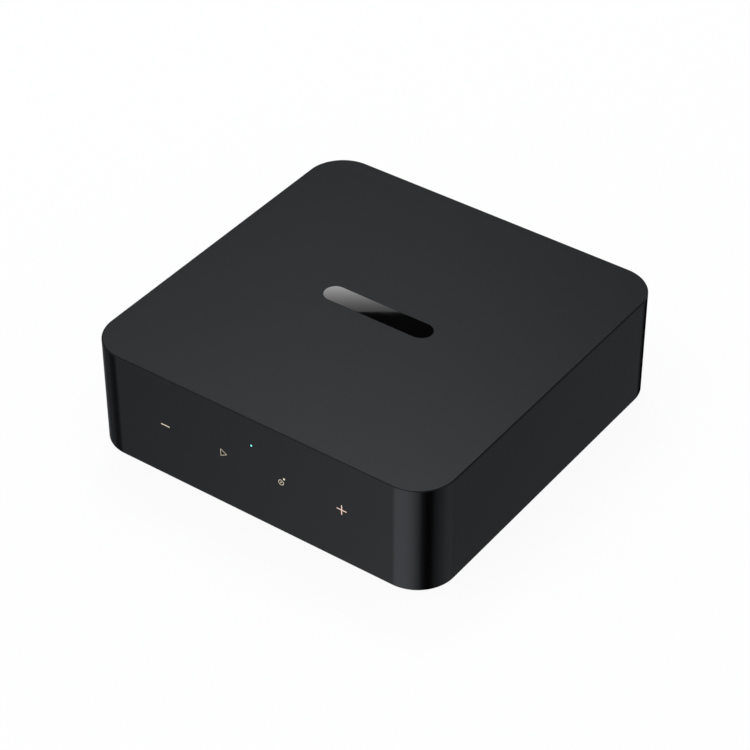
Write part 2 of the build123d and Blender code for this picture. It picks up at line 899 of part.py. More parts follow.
def compute_module():
    """The computing and radio module, with plated half holes along its two long edges."""
    outline = Rectangle(module_width, module_depth)
    start = -pad_hole_pitch * (pad_hole_count - 1) / 2
    for index in range(pad_hole_count):
        for side in (-1, 1):
            outline -= Pos(start + index * pad_hole_pitch, side * module_depth / 2) * Circle(pad_hole_radius)
    return through_z(Pos(0, module_y) * outline, board_top, shield_bottom)


def module_shield():
    """The pressed can over the module's chips, open below, with a few vent holes."""
    outline = Pos(0, module_y) * RectangleRounded(shield_width, shield_depth, shield_corner_radius)
    can = through_z(outline, shield_bottom, shield_top)
    can = fillet(can.edges().group_by(Axis.Z)[-1], shield_sheet)
    room = Pos(0, module_y) * Rectangle(shield_width - 2 * shield_sheet, shield_depth - 2 * shield_sheet)
    can -= through_z(room, shield_bottom - overrun, shield_top - shield_sheet)
    for side in (-1, 1):
        for step in (-1, 0, 1):
            x = side * (thermal_side + shield_width) / 4
            hole = Pos(x, module_y + step * shield_hole_pitch) * Circle(shield_hole_radius)
            can -= through_z(hole, shield_top - 2 * shield_sheet, shield_top + overrun)
    return can


def thermal_pad():
    """The soft pad between the shield and the heat spreader."""
    pad = Pos(0, module_y) * RectangleRounded(thermal_side, thermal_side, shield_corner_radius)
    return through_z(pad, shield_top, spreader_bottom)


def spreader_outline():
    """The bent plate seen from the side, in Y and Z: feet on the board, legs, and the top over the pad."""
    span = spreader_span / 2
    foot = span + spreader_foot
    low, high = board_top, board_top + spreader_thickness
    under, over = spreader_bottom, spreader_bottom + spreader_thickness
    leg = span + spreader_thickness
    outline = make_face(Polyline(
        (-foot, low), (-span, low), (-span, under), (span, under), (span, low), (foot, low),
        (foot, high), (leg, high), (leg, over), (-leg, over), (-leg, high), (-foot, high), close=True,
    ))
    bends = [v for v in outline.vertices() if abs(v.Y) < foot - spreader_thickness]
    return fillet(bends, spreader_bend_radius)


def rivet_places():
    """Where push rivets hold the heat spreader's feet to the board."""
    y = spreader_span / 2 + spreader_thickness + (spreader_foot - spreader_thickness) / 2
    x = spreader_width / 2 - rivet_inset
    return [(sx * x, module_y + sy * y) for sx in (-1, 1) for sy in (-1, 1)]


def heat_spreader():
    """The bent aluminium plate that carries heat away from the module."""
    outline = Pos(module_y, 0) * spreader_outline()
    plate = through_x(outline, -spreader_width / 2, spreader_width / 2)
    for x, y in rivet_places():
        hole = Pos(x, y) * Circle(rivet_radius + rivet_clear)
        plate -= through_z(hole, board_top - overrun, board_top + spreader_thickness + overrun)
    return plate


def spreader_rivets():
    """The push rivets through the spreader's feet and the board."""
    length = spreader_thickness + board_thickness + rivet_tail
    rivet = turned_z([
        (0, -length), (rivet_radius, -length + rivet_radius), (rivet_radius, 0),
        (rivet_head_radius, 0), (rivet_head_radius, rivet_head_height), (0, rivet_head_height),
    ])
    top = board_top + spreader_thickness
    return [Pos(x, y, top) * rivet for x, y in rivet_places()]


# Places of board components as shares of the board's half width and half depth, with a size share
chip_shares = (
    (0.62, 0.10, 1.0), (0.62, -0.30, 0.7), (0.34, 0.22, 0.6), (-0.40, 0.22, 0.9),
    (-0.70, -0.10, 0.6), (0.05, 0.30, 0.8), (-0.62, -0.45, 0.75),
)
can_shares = ((0.84, 0.28), (0.69, 0.28), (0.54, 0.28), (-0.20, 0.36), (-0.78, 0.16), (-0.78, 0.34))
coil_shares = ((-0.60, 0.16), (-0.60, 0.32), (0.22, 0.42))


def board_place(x_share, y_share):
    """A place on the board from its shares of half the width and of the depth about the middle."""
    middle = (board_front + board_rear) / 2
    return x_share * board_half_width, middle + y_share * (board_rear - board_front) / 2


def chips():
    """Flat chip packages with bevelled top edges."""
    made = []
    for x_share, y_share, size_share in chip_shares:
        side = size_share * chip_side
        chip = extrude(Rectangle(side, side), chip_thickness)
        chip = chamfer(chip.edges().group_by(Axis.Z)[-1], chip_edge)
        made.append(Pos(*board_place(x_share, y_share), board_top) * chip)
    return made


def capacitors():
    """Upright can capacitors, each on its square base."""
    can = turned_z([
        (0, can_base_height), (can_radius - can_neck, can_base_height),
        (can_radius, can_base_height + can_neck), (can_radius, can_height - can_edge),
        (can_radius - can_edge, can_height), (0, can_height),
    ])
    base = extrude(RectangleRounded(2 * can_radius, 2 * can_radius, can_edge), can_base_height)
    whole = can + base
    return [Pos(*board_place(*shares), board_top) * whole for shares in can_shares]


def inductors():
    """Square shielded inductors with a shallow dish in the top."""
    body = extrude(RectangleRounded(coil_side, coil_side, coil_corner_radius), coil_height)
    dish = Plane.XY.offset(coil_height - coil_dish_depth) * Circle(coil_dish_radius)
    body -= extrude(dish, coil_dish_depth + overrun)
    return [Pos(*board_place(*shares), board_top) * body for shares in coil_shares]


def key_places():
    """X of the touch keys, in one row about the middle."""
    return [key_pitch * (index - (key_count - 1) / 2) for index in range(key_count)]


def touch_board():
    """The board that senses a finger through the front wall."""
    outline = Pos(0, (touch_bottom + touch_top) / 2) * Rectangle(touch_length, touch_top - touch_bottom)
    return through_y(outline, touch_front, touch_back)


def touch_pads():
    """Conductive foam pads pressed between the board and the wall, one behind each sign."""
    return [
        through_y(Pos(x, key_height) * Circle(key_pad_radius), front_inner, touch_front)
        for x in key_places()
    ]


def status_led():
    """The small light source on the touch board."""
    room = key_pad_thickness - light_flange_thickness - led_gap
    outline = Pos(0, light_z) * Rectangle(led_width, led_height)
    return through_y(outline, touch_front - room, touch_front)


def light_pipe():
    """The clear pin that carries the status light through the front wall, flanged behind it."""
    pin = through_y(Pos(0, light_z) * Circle(light_radius), -half_depth, front_inner)
    flange = Pos(0, light_z) * Circle(light_flange_radius)
    return pin + through_y(flange, front_inner, front_inner + light_flange_thickness)


def ribbon_x():
    """X of the flat flex's middle."""
    return ribbon_share * body_width


def ribbon_connectors():
    """The two connectors of the flat flex, on the touch board and on the main board."""
    x = ribbon_x()
    half = plug_width / 2
    slot_half = ribbon_width / 2 + ribbon_slot_gap
    slot = ribbon_thickness / 2 + ribbon_slot_gap
    low = touch_bottom + plug_lift
    upright = block((x - half, x + half), (touch_back, touch_back + plug_height), (low - plug_depth, low))
    middle = touch_back + plug_height / 2
    upright -= block(
        (x - slot_half, x + slot_half), (middle - slot, middle + slot),
        (low - plug_depth - overrun, low - plug_depth + ribbon_entry + ribbon_slot_gap),
    )
    front = board_front + plug_set_back
    flat = block((x - half, x + half), (front, front + plug_depth), (board_top, board_top + plug_height))
    level = board_top + plug_height / 2
    flat -= block(
        (x - slot_half, x + slot_half), (front - overrun, front + ribbon_entry + ribbon_slot_gap),
        (level - slot, level + slot),
    )
    return [upright, flat]


def touch_ribbon():
    """The flat flex: down out of the touch board's connector, round one bend, and back to the main board."""
    x = ribbon_x()
    half = ribbon_thickness / 2
    y0 = touch_back + plug_height / 2
    z0 = touch_bottom + plug_lift - plug_depth + ribbon_entry
    y1 = board_front + plug_set_back + ribbon_entry
    z1 = board_top + plug_height / 2
    strip = make_face(Polyline(
        (y0 - half, z0), (y0 - half, z1 - half), (y1, z1 - half),
        (y1, z1 + half), (y0 + half, z1 + half), (y0 + half, z0), close=True,
    ))
    corner = [v for v in strip.vertices() if v.Y < z0 - plug_depth and v.X < y0 + ribbon_thickness]
    corner.sort(key=lambda v: v.X)
    strip = fillet(corner[:1], ribbon_bend_radius + ribbon_thickness)
    inner = [v for v in strip.vertices() if abs(v.X - y0 - half) < half and abs(v.Y - z1 - half) < half]
    strip = fillet(inner, ribbon_bend_radius)
    return through_x(strip, x - ribbon_width / 2, x + ribbon_width / 2)


def antenna_y():
    """Y of the antennas' middle."""
    return antenna_share * body_depth


def antenna(side):
    """A thin flexible antenna on a side wall, slotted along most of its length."""
    outline = Pos(antenna_y(), antenna_rise) * RectangleRounded(
        antenna_length, antenna_height, antenna_corner_radius
    )
    slot_length = antenna_slot_share * antenna_length
    slot_y = antenna_y() + (antenna_length - slot_length) / 2
    outline -= Pos(slot_y, antenna_rise + antenna_slot_width) * Rectangle(slot_length, antenna_slot_width)
    spans = sorted((side * inner_half_width, side * (inner_half_width - antenna_thickness)))
    return through_x(outline, *spans)


def lead_plug_place(side):
    """Where an antenna lead's plug stands on the module."""
    return side * (module_width / 2 - lead_plug_inset), module_y


def antenna_plugs():
    """The small round plugs that join the antenna leads to the module."""
    plug = extrude(Circle(lead_plug_radius), lead_plug_height)
    return [Pos(*lead_plug_place(side), shield_bottom) * plug for side in (-1, 1)]


# Inner points of the antenna leads, as shares of the way from the antenna to the module's plug
lead_shares = (
    (0.0, 0.46, 0.08), (0.16, 0.60, 0.60), (0.42, 0.70, 0.90), (0.72, 0.90, 1.0),
)


def lead_route(side):
    """The points that an antenna lead follows, from its solder point to its plug."""
    x0 = side * (inner_half_width - antenna_thickness - lead_radius)
    y0 = antenna_y() - antenna_slot_share * antenna_length / 2
    z0 = antenna_rise - antenna_height / 4
    plug_x, y1 = lead_plug_place(side)
    x1 = plug_x + side * lead_plug_radius
    z1 = shield_bottom + lead_plug_height / 2
    route = [(x0, y0, z0)]
    for x_share, y_share, z_share in lead_shares:
        route.append((x0 + x_share * (x1 - x0), y0 + y_share * (y1 - y0), z0 + z_share * (z1 - z0)))
    route.append((x1, y1, z1))
    return [Vector(*point) for point in route]


def bend_radii(route):
    """The largest radius that each corner's two runs allow."""
    radii = []
    for before, corner, after in zip(route, route[1:], route[2:]):
        turn = (corner - before).get_angle(after - corner)
        run = min((corner - before).length, (after - corner).length)
        radii.append(lead_bend_share * run / tan(radians(turn) / 2))
    return radii


def antenna_lead(side):
    """The thin coaxial lead from an antenna to the module."""
    route = lead_route(side)
    path = FilletPolyline(*route, radius=bend_radii(route))
    start = Plane(origin=path @ 0, z_dir=path % 0)
    lead = sweep(start * Circle(lead_radius), path)
    radii = [round(radius, 1) for radius in bend_radii(route)]
    share = lead.volume / (pi * lead_radius**2 * path.length)
    print("lead radii", radii, "volume over section times length", round(share, 4))
    return lead


def build():
    """Every piece by its name."""
    nodes = {
        "upper_shell": upper_shell(),
        "top_inlay": top_inlay(),
        "base_plate": base_plate(),
        "foot_pad": foot_pad(),
        "rear_panel": rear_panel(),
        "base_screws": base_screws(),
        "main_board": main_board(),
        "board_screws": board_screws(),
        "compute_module": compute_module(),
        "module_shield": module_shield(),
        "thermal_pad": thermal_pad(),
        "heat_spreader": heat_spreader(),
        "spreader_rivets": spreader_rivets(),
        "chips": chips(),
        "capacitors": capacitors(),
        "inductors": inductors(),
        "touch_board": touch_board(),
        "touch_pads": touch_pads(),
        "touch_ribbon": touch_ribbon(),
        "ribbon_connectors": ribbon_connectors(),
        "status_led": status_led(),
        "light_pipe": light_pipe(),
        "antenna_left": antenna(-1),
        "antenna_right": antenna(1),
        "antenna_lead_left": antenna_lead(-1),
        "antenna_lead_right": antenna_lead(1),
        "antenna_plugs": antenna_plugs(),
        "line_in_block": phono_block(ports["line_in"], (phono_low, phono_high)),
        "line_out_block": phono_block(ports["line_out"], (phono_low, phono_high)),
        "coax_block": phono_block(ports["coax"], (phono_low,)),
        "ethernet_shield": network_shield(),
        "ethernet_insert": network_insert(),
        "ethernet_contacts": network_contacts(),
        "ethernet_windows": network_windows(),
        "power_shell": power_shell(),
        "power_tongue": power_tongue(),
        "trigger_body": trigger_body(),
        "trigger_bush": trigger_bush(),
    }
    for name, (x, z) in phono_sockets.items():
        nodes[name + "_barrel"] = Pos(x, 0, z) * phono_barrel()
        nodes[name + "_insulator"] = Pos(x, 0, z) * phono_insulator()
        nodes[name + "_contact"] = Pos(x, 0, z) * phono_contact()
    for name, element in (("optical_in", "receiver"), ("optical_out", "emitter")):
        nodes[name + "_housing"] = optical_housing(ports[name])
        nodes[name + "_shutter"] = optical_shutter(ports[name])
        nodes[name + "_" + element] = optical_element(ports[name])
    return nodes


def write(nodes):
    """One STEP file for each piece or group of like pieces."""
    os.makedirs("parts", exist_ok=True)
    for name, shape in nodes.items():
        if isinstance(shape, list):
            shape = Compound(children=shape)
        shape.label = name
        export_step(shape, os.path.join("parts", name + ".step"))


write(build())
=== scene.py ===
"""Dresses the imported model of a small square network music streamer, as an add-on that is run as a script.

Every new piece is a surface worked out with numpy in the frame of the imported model, in metres: the front
faces -Y, the sockets face +Y, +Z is up, and the foot pad stands on z = 0.
"""

import functools
import json
import math

import bmesh
import bpy
import numpy as np
from mathutils import Matrix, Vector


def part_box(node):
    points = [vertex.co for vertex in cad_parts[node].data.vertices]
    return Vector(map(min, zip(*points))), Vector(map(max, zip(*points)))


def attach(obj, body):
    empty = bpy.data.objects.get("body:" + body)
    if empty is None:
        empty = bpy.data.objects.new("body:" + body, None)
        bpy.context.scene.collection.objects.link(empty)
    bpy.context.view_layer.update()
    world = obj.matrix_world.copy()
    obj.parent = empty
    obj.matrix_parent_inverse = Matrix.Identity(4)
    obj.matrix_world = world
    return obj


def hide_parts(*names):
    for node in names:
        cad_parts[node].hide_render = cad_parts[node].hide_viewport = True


bl_info = {
    "name": "Streamer Dresser",
    "version": (1, 0, 0),
    "blender": (4, 5, 0),
    "location": "3D View > Sidebar > Streamer",
    "description": "Builds the housing, signs, sockets, finishes and studio of a network music streamer",
    "category": "Object",
}

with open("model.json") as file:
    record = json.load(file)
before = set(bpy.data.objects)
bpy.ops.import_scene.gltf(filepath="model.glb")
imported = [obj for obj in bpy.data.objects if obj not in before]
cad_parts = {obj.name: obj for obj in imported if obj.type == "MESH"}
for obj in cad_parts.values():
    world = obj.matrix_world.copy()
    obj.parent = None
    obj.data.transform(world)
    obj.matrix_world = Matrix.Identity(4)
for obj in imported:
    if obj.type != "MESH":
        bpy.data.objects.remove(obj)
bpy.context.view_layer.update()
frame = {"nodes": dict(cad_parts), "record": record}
NODES = frame["nodes"]
SLOTS = {part["node"]: part["material_slot"] for part in frame["record"]["subparts"]}
MM = 0.001
MICRON = 0.000001

# Least length that a vector is divided by
TINY = 1e-12

# Points closer than this are merged, and edges over this angle stay crisp
WELD = 1e-7
SHARP_ANGLE = math.radians(35)

# A face takes the outer skin's normal where the cosine of the angle between them is over this
SKIN_COSINE = math.cos(math.radians(20))


def node_middle(node):
    """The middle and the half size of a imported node's box, as arrays."""
    low, high = (np.array(corner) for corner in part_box(node))
    return (low + high) / 2, (high - low) / 2


SHELL_LOW, SHELL_HIGH = (np.array(corner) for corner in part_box("upper_shell"))


def number(label, text, default, **limits):
    """A property that holds a number, by its name in the panel, its description and its default."""
    return bpy.props.FloatProperty(name=label, description=text, default=default, **limits)


def length(label, text, default):
    """A property that holds a length in metres."""
    return number(label, text, default, min=0.0, unit="LENGTH", precision=5)


def angle(label, text, degrees):
    """A property that holds an angle, given in degrees."""
    return number(label, text, math.radians(degrees), subtype="ANGLE")


def amount(label, text, default):
    """A property that holds a plain amount from zero up."""
    return number(label, text, default, min=0.0)


def share(label, text, default):
    """A property that holds a share from zero to one."""
    return number(label, text, default, min=0.0, max=1.0, subtype="FACTOR")


def colour(label, text, default):
    """A property that holds a linear colour."""
    return bpy.props.FloatVectorProperty(
        name=label, description=text, default=default, size=3, min=0.0, max=1.0, subtype="COLOR"
    )


# Points on a grid


def rounded_outline(half_x, half_y, radius, steps):
    """A closed rounded rectangle: each corner's points are its arc's centre plus the radius times the cosine
    and sine of an angle that runs on through a quarter turn. Every inset gives as many points, in step."""
    angles = np.concatenate([np.linspace(q, q + 1, steps + 1) for q in range(4)]) * math.pi / 2
    signs = np.repeat([[1, 1], [-1, 1], [-1, -1], [1, -1]], steps + 1, axis=0)
    centres = signs * [half_x - radius, half_y - radius]
    return centres + radius * np.column_stack([np.cos(angles), np.sin(angles)])


def edge_profile(low, high, low_edge, high_edge, steps):
    """Insets and heights of a wall with a quarter round at each end: the inset is the edge radius times one
    less the cosine, and the height moves by the edge radius times one less the sine, of an even angle."""
    turn = np.linspace(0, math.pi / 2, steps + 1)
    inset = np.concatenate([low_edge * (1 - np.sin(turn)), high_edge * (1 - np.cos(turn))])
    level = np.concatenate([low + low_edge * (1 - np.cos(turn)), high - high_edge * (1 - np.sin(turn))])
    return inset, level


def at_height(outline, height):
    """An outline in X and Y as points at one height."""
    return np.column_stack([outline, np.full(len(outline), height)])


def upright(outline, low, high):
    """An outline in X and Y carried straight up from low to high."""
    return np.array([at_height(outline, low), at_height(outline, high)])


def span_outline(left, right, low, high):
    """A rectangle's four corners."""
    return np.array([(left, low), (right, low), (right, high), (left, high)])


def disc(x, y, radius, steps=32):
    """A round outline: the middle plus the radius times the cosine and sine."""
    angle = np.linspace(0, 2 * math.pi, steps, endpoint=False)
    return np.column_stack([x + radius * np.cos(angle), y + radius * np.sin(angle)])


def rounded_block(half_x, half_y, radius, low, high, low_edge=0.0, high_edge=0.0, steps=24, edge_steps=8):
    """Rows of a rounded rectangle carried up an edge profile, each row moved in by the profile's inset."""
    inset, level = edge_profile(low, high, low_edge, high_edge, edge_steps)
    return np.array([
        at_height(rounded_outline(half_x - i, half_y - i, max(radius - i, MICRON), steps), z)
        for i, z in zip(inset, level)
    ])


def turned_rows(profile, steps=64):
    """A profile of radius and y turned about the Y axis: x and z are the radius times the cosine and sine."""
    profile = np.asarray(profile, float)
    angle = np.linspace(0, 2 * math.pi, steps, endpoint=False)
    radius, y = profile[:, :1], profile[:, 1:2]
    return np.stack(
        [radius * np.cos(angle), np.broadcast_to(y, (len(profile), steps)), radius * np.sin(angle)], axis=2
    )


def lying(rows):
    """Rows drawn in X and Y with a height, laid over so that the outline stands in X and Z and faces +Y."""
    return rows[..., [0, 2, 1]]


def offset_loop(points, distance):
    """A closed loop moved along its own normal: the tangent is the difference of the two neighbours, and the
    normal is the tangent turned by a right angle."""
    tangent = np.roll(points, -1, axis=0) - np.roll(points, 1, axis=0)
    tangent /= np.linalg.norm(tangent, axis=1)[:, None]
    return points + distance * np.column_stack([tangent[:, 1], -tangent[:, 0]])


def rounded_corners(corners, radius, steps):
    """A closed polygon with round corners: each corner's arc is centred on the bisector at the radius over
    the sine of half the angle, and its angle runs evenly between the two sides' normals."""
    corners = np.asarray(corners, float)
    before, after = np.roll(corners, 1, axis=0) - corners, np.roll(corners, -1, axis=0) - corners
    before /= np.linalg.norm(before, axis=1)[:, None]
    after /= np.linalg.norm(after, axis=1)[:, None]
    half = np.arccos(np.clip((before * after).sum(1), -1, 1)) / 2
    bisector = before + after
    bisector /= np.linalg.norm(bisector, axis=1)[:, None]
    radius = np.broadcast_to(radius, len(corners))
    centre = corners + bisector * (radius / np.sin(half))[:, None]
    middle = np.arctan2(-bisector[:, 1], -bisector[:, 0])
    winding = np.sign(np.cross(-before, after))
    sweep = (math.pi / 2 - half) * winding
    angle = middle[:, None] + sweep[:, None] * np.linspace(-1, 1, steps)
    arcs = centre[:, None] + radius[:, None, None] * np.stack([np.cos(angle), np.sin(angle)], axis=2)
    return arcs.reshape(-1, 2)


def quads(rows, columns, closed_rows=False):
    """Faces between neighbouring rows, each row's end joined to its start. With closed_rows the last row is
    also joined to the first."""
    first = np.arange(rows if closed_rows else rows - 1)[:, None]
    second = (first + 1) % rows
    column = np.arange(columns)[None]
    following = (column + 1) % columns
    corners = [first * columns + column, first * columns + following,
               second * columns + following, second * columns + column]
    return np.stack(np.broadcast_arrays(*corners), axis=2).reshape(-1, 4)


def solid(rows, closed_rows=False):
    """Points and faces of a closed body from rows of points, capped at both ends unless its rows close. The
    faces are turned over if the body's signed volume, from each triangle's corners, comes out negative."""
    rows = np.asarray(rows, float)
    count, columns = rows.shape[:2]
    points = rows.reshape(-1, 3)
    sides = quads(count, columns, closed_rows)
    caps = [] if closed_rows else [np.arange(columns)[::-1], np.arange(columns) + (count - 1) * columns]
    triangles = [sides[:, [0, 1, 2]], sides[:, [0, 2, 3]]]
    for cap in caps:
        triangles.append(np.column_stack([np.full(columns - 2, cap[0]), cap[1:-1], cap[2:]]))
    first, second, third = (points[corner] for corner in np.concatenate(triangles).T)
    faces = sides.tolist() + [cap.tolist() for cap in caps]
    if np.einsum("ij,ij->i", first, np.cross(second, third)).sum() < 0:
        faces = [face[::-1] for face in faces]
    return points, faces


def joined(parts):
    """Points and faces of several bodies as one list."""
    points, faces, start = [], [], 0
    for part_points, part_faces in parts:
        points.append(part_points)
        faces += [[index + start for index in face] for face in part_faces]
        start += len(part_points)
    return np.concatenate(points), faces


def mesh_object(name, points, faces):
    """A smooth-shaded object from points and faces. Doubled points are merged, so that poles are closed, and
    edges over the sharp angle stay crisp."""
    mesh = bpy.data.meshes.new(name)
    mesh.from_pydata(np.asarray(points).tolist(), [], faces)
    work = bmesh.new()
    work.from_mesh(mesh)
    bmesh.ops.remove_doubles(work, verts=work.verts, dist=WELD)
    work.to_mesh(mesh)
    work.free()
    mesh.polygons.foreach_set("use_smooth", np.ones(len(mesh.polygons), bool))
    mesh.set_sharp_from_angle(angle=SHARP_ANGLE)
    piece = bpy.data.objects.new(name, mesh)
    bpy.context.scene.collection.objects.link(piece)
    return piece


def settle(piece):
    """Turns what a piece's modifiers make of it into its plain mesh."""
    graph = bpy.context.evaluated_depsgraph_get()
    mesh = bpy.data.meshes.new_from_object(piece.evaluated_get(graph))
    piece.modifiers.clear()
    piece.data = mesh
    return piece


def even_shading(piece):
    """Weighs the shading normals by face area, so that a flat face stays flat up to its rounded edge."""
    modifier = piece.modifiers.new("even", "WEIGHTED_NORMAL")
    modifier.mode = "FACE_AREA"
    modifier.weight = 100
    modifier.keep_sharp = True
    return settle(piece)


def combine(piece, tools, operation="DIFFERENCE"):
    """Takes each tool's body out of the piece, or adds it to the piece as a union."""
    for tool in tools:
        modifier = piece.modifiers.new("cut", "BOOLEAN")
        modifier.object = tool
        modifier.operation = operation
        modifier.solver = "EXACT"
    settle(piece)
    for tool in tools:
        bpy.data.objects.remove(tool)


def give_finish(piece, finish):
    """Makes a finish the piece's only one."""
    piece.data.materials.clear()
    piece.data.materials.append(finish)


def place(piece, finish, slot, *nodes):
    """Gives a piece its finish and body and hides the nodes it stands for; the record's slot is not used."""
    give_finish(piece, finish)
    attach(piece, "streamer")
    if nodes:
        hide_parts(*nodes)


def stand_for(piece, node):
    """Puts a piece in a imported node's place, with the finish of the node's slot."""
    place(piece, finish_of(SLOTS[node]), SLOTS[node], node)


# Finishes


class Nodes:
    """Short calls that add nodes to a tree. An input takes a value or another node's output."""

    def __init__(self, tree):
        self.tree = tree

    def give(self, socket, value):
        """Links an output to an input, or sets the input's value."""
        if isinstance(value, bpy.types.NodeSocket):
            self.tree.links.new(value, socket)
        else:
            socket.default_value = value

    def node(self, kind, inputs=None, **settings):
        """A node of a kind with its inputs and settings."""
        made = self.tree.nodes.new(kind)
        for key, value in settings.items():
            setattr(made, key, value)
        for key, value in (inputs or {}).items():
            self.give(made.inputs[key], value)
        return made

    def output(self, kind, inputs=None, **settings):
        """The first output of such a node."""
        return self.node(kind, inputs, **settings).outputs[0]

    def math(self, operation, *values):
        """The outcome of a sum on one to three values."""
        return self.output("ShaderNodeMath", dict(enumerate(values)), operation=operation)

    def ramp(self, value, low, high, start=0.0, end=1.0, smooth=True):
        """The value carried from low to high onto start to end."""
        kind = "SMOOTHSTEP" if smooth else "LINEAR"
        inputs = {"Value": value, "From Min": low, "From Max": high, "To Min": start, "To Max": end}
        return self.output("ShaderNodeMapRange", inputs, interpolation_type=kind)

    def blend(self, factor, first, second):
        """A colour between two colours, each a triple or another node's output."""
        mix = self.node("ShaderNodeMix", {"Factor": factor}, data_type="RGBA")
        for socket, value in ((mix.inputs[6], first), (mix.inputs[7], second)):
            self.give(socket, value if isinstance(value, bpy.types.NodeSocket) else (*value, 1.0))
        return mix.outputs[2]

    def mixed(self, factor, first, second):
        """A shader between two shaders."""
        return self.output("ShaderNodeMixShader", {0: factor, 1: first, 2: second})


class Finish(Nodes):
    """A material under construction: a Principled surface, and short calls for the nodes that drive it."""

    def __init__(self, name, base, roughness, metallic=0.0):
        self.material = bpy.data.materials.new(name)
        self.material.use_nodes = True
        super().__init__(self.material.node_tree)
        self.shader = self.tree.nodes["Principled BSDF"]
        self.drive("Base Color", (*base, 1.0))
        self.drive("Roughness", roughness)
        self.drive("Metallic", metallic)
        self.base, self.roughness = base, roughness
        self.where = self.node("ShaderNodeTexCoord").outputs["Object"]

    def drive(self, socket, value):
        """Gives one of the surface's inputs a value or another node's output."""
        self.give(self.shader.inputs[socket], value)

    def axis(self, name):
        """One Object coordinate."""
        return self.node("ShaderNodeSeparateXYZ", {0: self.where}).outputs[name]

    def noise(self, size, detail=2.0, stretch=(1, 1, 1)):
        """Noise whose features are about size across, drawn out along the axes of small stretch."""
        scaled = self.output("ShaderNodeMapping", {"Vector": self.where, "Scale": stretch})
        inputs = {"Vector": scaled, "Scale": 1 / size, "Detail": detail}
        return self.node("ShaderNodeTexNoise", inputs).outputs["Fac"]

    def patches(self, size, start, end, detail=2.0, stretch=(1, 1, 1)):
        """Noise whose middle range is carried onto start to end."""
        return self.ramp(self.noise(size, detail, stretch), 0.3, 0.7, start, end)

    def cells(self, size):
        """Distance from the middle of random cells that are about size across."""
        inputs = {"Vector": self.where, "Scale": 1 / size}
        return self.node("ShaderNodeTexVoronoi", inputs).outputs["Distance"]

    def vary_colour(self, amount, size):
        """Lets the base colour drift darker and lighter by the amount over patches of the size."""
        changes = (1 - amount, 1 + amount)
        low, high = (tuple(min(1.0, part * change) for part in self.base) for change in changes)
        self.drive("Base Color", self.blend(self.noise(size, 3.0), low, high))

    def vary_roughness(self, amount, size, stretch=(1, 1, 1)):
        """Lets the roughness drift down and up by the amount over patches of the size."""
        low, high = self.roughness - amount, self.roughness + amount
        self.drive("Roughness", self.patches(size, low, high, 3.0, stretch))

    def bump(self, height, depth):
        """Gives the surface relief of the depth in metres."""
        self.drive("Normal", self.output("ShaderNodeBump", {"Height": height, "Distance": depth}))


# How gloss drifts, as a share of the roughness and at most, and the sizes of the patches in which colour and
# gloss drift on plain surfaces and on metal, where gloss follows the lines at a multiple of their size
GLOSS_SHARE = 0.3
GLOSS_MOST = 0.06
COLOUR_PATCH = 4.0 * MM
GLOSS_PATCH = 2.8 * MM
METAL_PATCH = 3.0 * MM
METAL_DRIFT = 0.06
LINES_IN_PATCH = 6


def grained(name, base, roughness, grain, depth, drift=0.12):
    """A moulded or painted surface: fine grain of a size and depth, with slow drifts of colour and gloss."""
    finish = Finish(name, base, roughness)
    finish.vary_colour(drift, COLOUR_PATCH)
    finish.vary_roughness(min(GLOSS_MOST, roughness * GLOSS_SHARE), GLOSS_PATCH)
    finish.bump(finish.noise(grain), depth)
    return finish.material


def drawn_metal(name, base, roughness, stretch, line, depth, metallic=1.0):
    """Metal with fine lines from drawing, rolling or turning, drawn out along the axes of small stretch."""
    finish = Finish(name, base, roughness, metallic)
    finish.vary_colour(METAL_DRIFT, METAL_PATCH)
    finish.vary_roughness(roughness * GLOSS_SHARE, line * LINES_IN_PATCH, stretch)
    finish.bump(finish.noise(line, 3.0, stretch), depth)
    return finish.material


def housing_finish():
    """Black moulding: the top has a fine matt texture and the walls are polished to a satin gloss. The change
    from the one to the other lies on the rounded edge between them, from change_low to change_high under the
    top."""
    change_low, change_high, drift_size, patch_size, grain = 0.4 * MM, 0.04 * MM, 30 * MM, 4 * MM, 0.28 * MM
    drift, patch = 0.1, 0.006
    look = bpy.context.scene.streamer_finishes
    finish = Finish("housing_moulding", look.wall_colour, look.wall_roughness)
    top = finish.ramp(finish.axis("Z"), SHELL_HIGH[2] - change_low, SHELL_HIGH[2] - change_high)
    darker, lighter = ([part * change for part in look.top_colour] for change in (1 - drift, 1 + drift))
    matt = finish.blend(finish.noise(drift_size), darker, lighter)
    finish.drive("Base Color", finish.blend(top, look.wall_colour, matt))
    plain = finish.ramp(top, 0, 1, look.wall_roughness, look.top_roughness, smooth=False)
    finish.drive("Roughness", finish.math("ADD", plain, finish.patches(patch_size, -patch, patch)))
    texture = finish.ramp(top, 0, 1, look.wall_texture, 1.0, smooth=False)
    finish.bump(finish.math("MULTIPLY", finish.noise(grain), texture), look.grain_depth)
    return finish.material


def inlay_finish():
    """Polished black with the faint long waves of a flow-polished face."""
    finish = Finish("inlay_gloss", (0.0005, 0.0005, 0.0006), 0.05)
    finish.vary_colour(0.2, 6 * MM)
    finish.drive("Roughness", finish.patches(4 * MM, 0.012, 0.024))
    finish.bump(finish.noise(6 * MM, 0.0), 0.3 * MICRON)
    return finish.material


def sign_finish(name, base, glow):
    """Translucent lacquer in the etched signs, lit a little from behind."""
    finish = Finish(name, base, 0.45)
    finish.vary_colour(0.06, 0.8 * MM)
    finish.vary_roughness(0.05, 0.5 * MM)
    finish.bump(finish.noise(0.1 * MM), 3 * MICRON)
    finish.drive("Emission Color", (*base, 1.0))
    finish.drive("Emission Strength", glow)
    return finish.material


def light_finish():
    """The lit clear plastic of the status light."""
    signs = bpy.context.scene.streamer_signs
    return sign_finish("status_light", tuple(signs.light_colour), signs.light_glow)


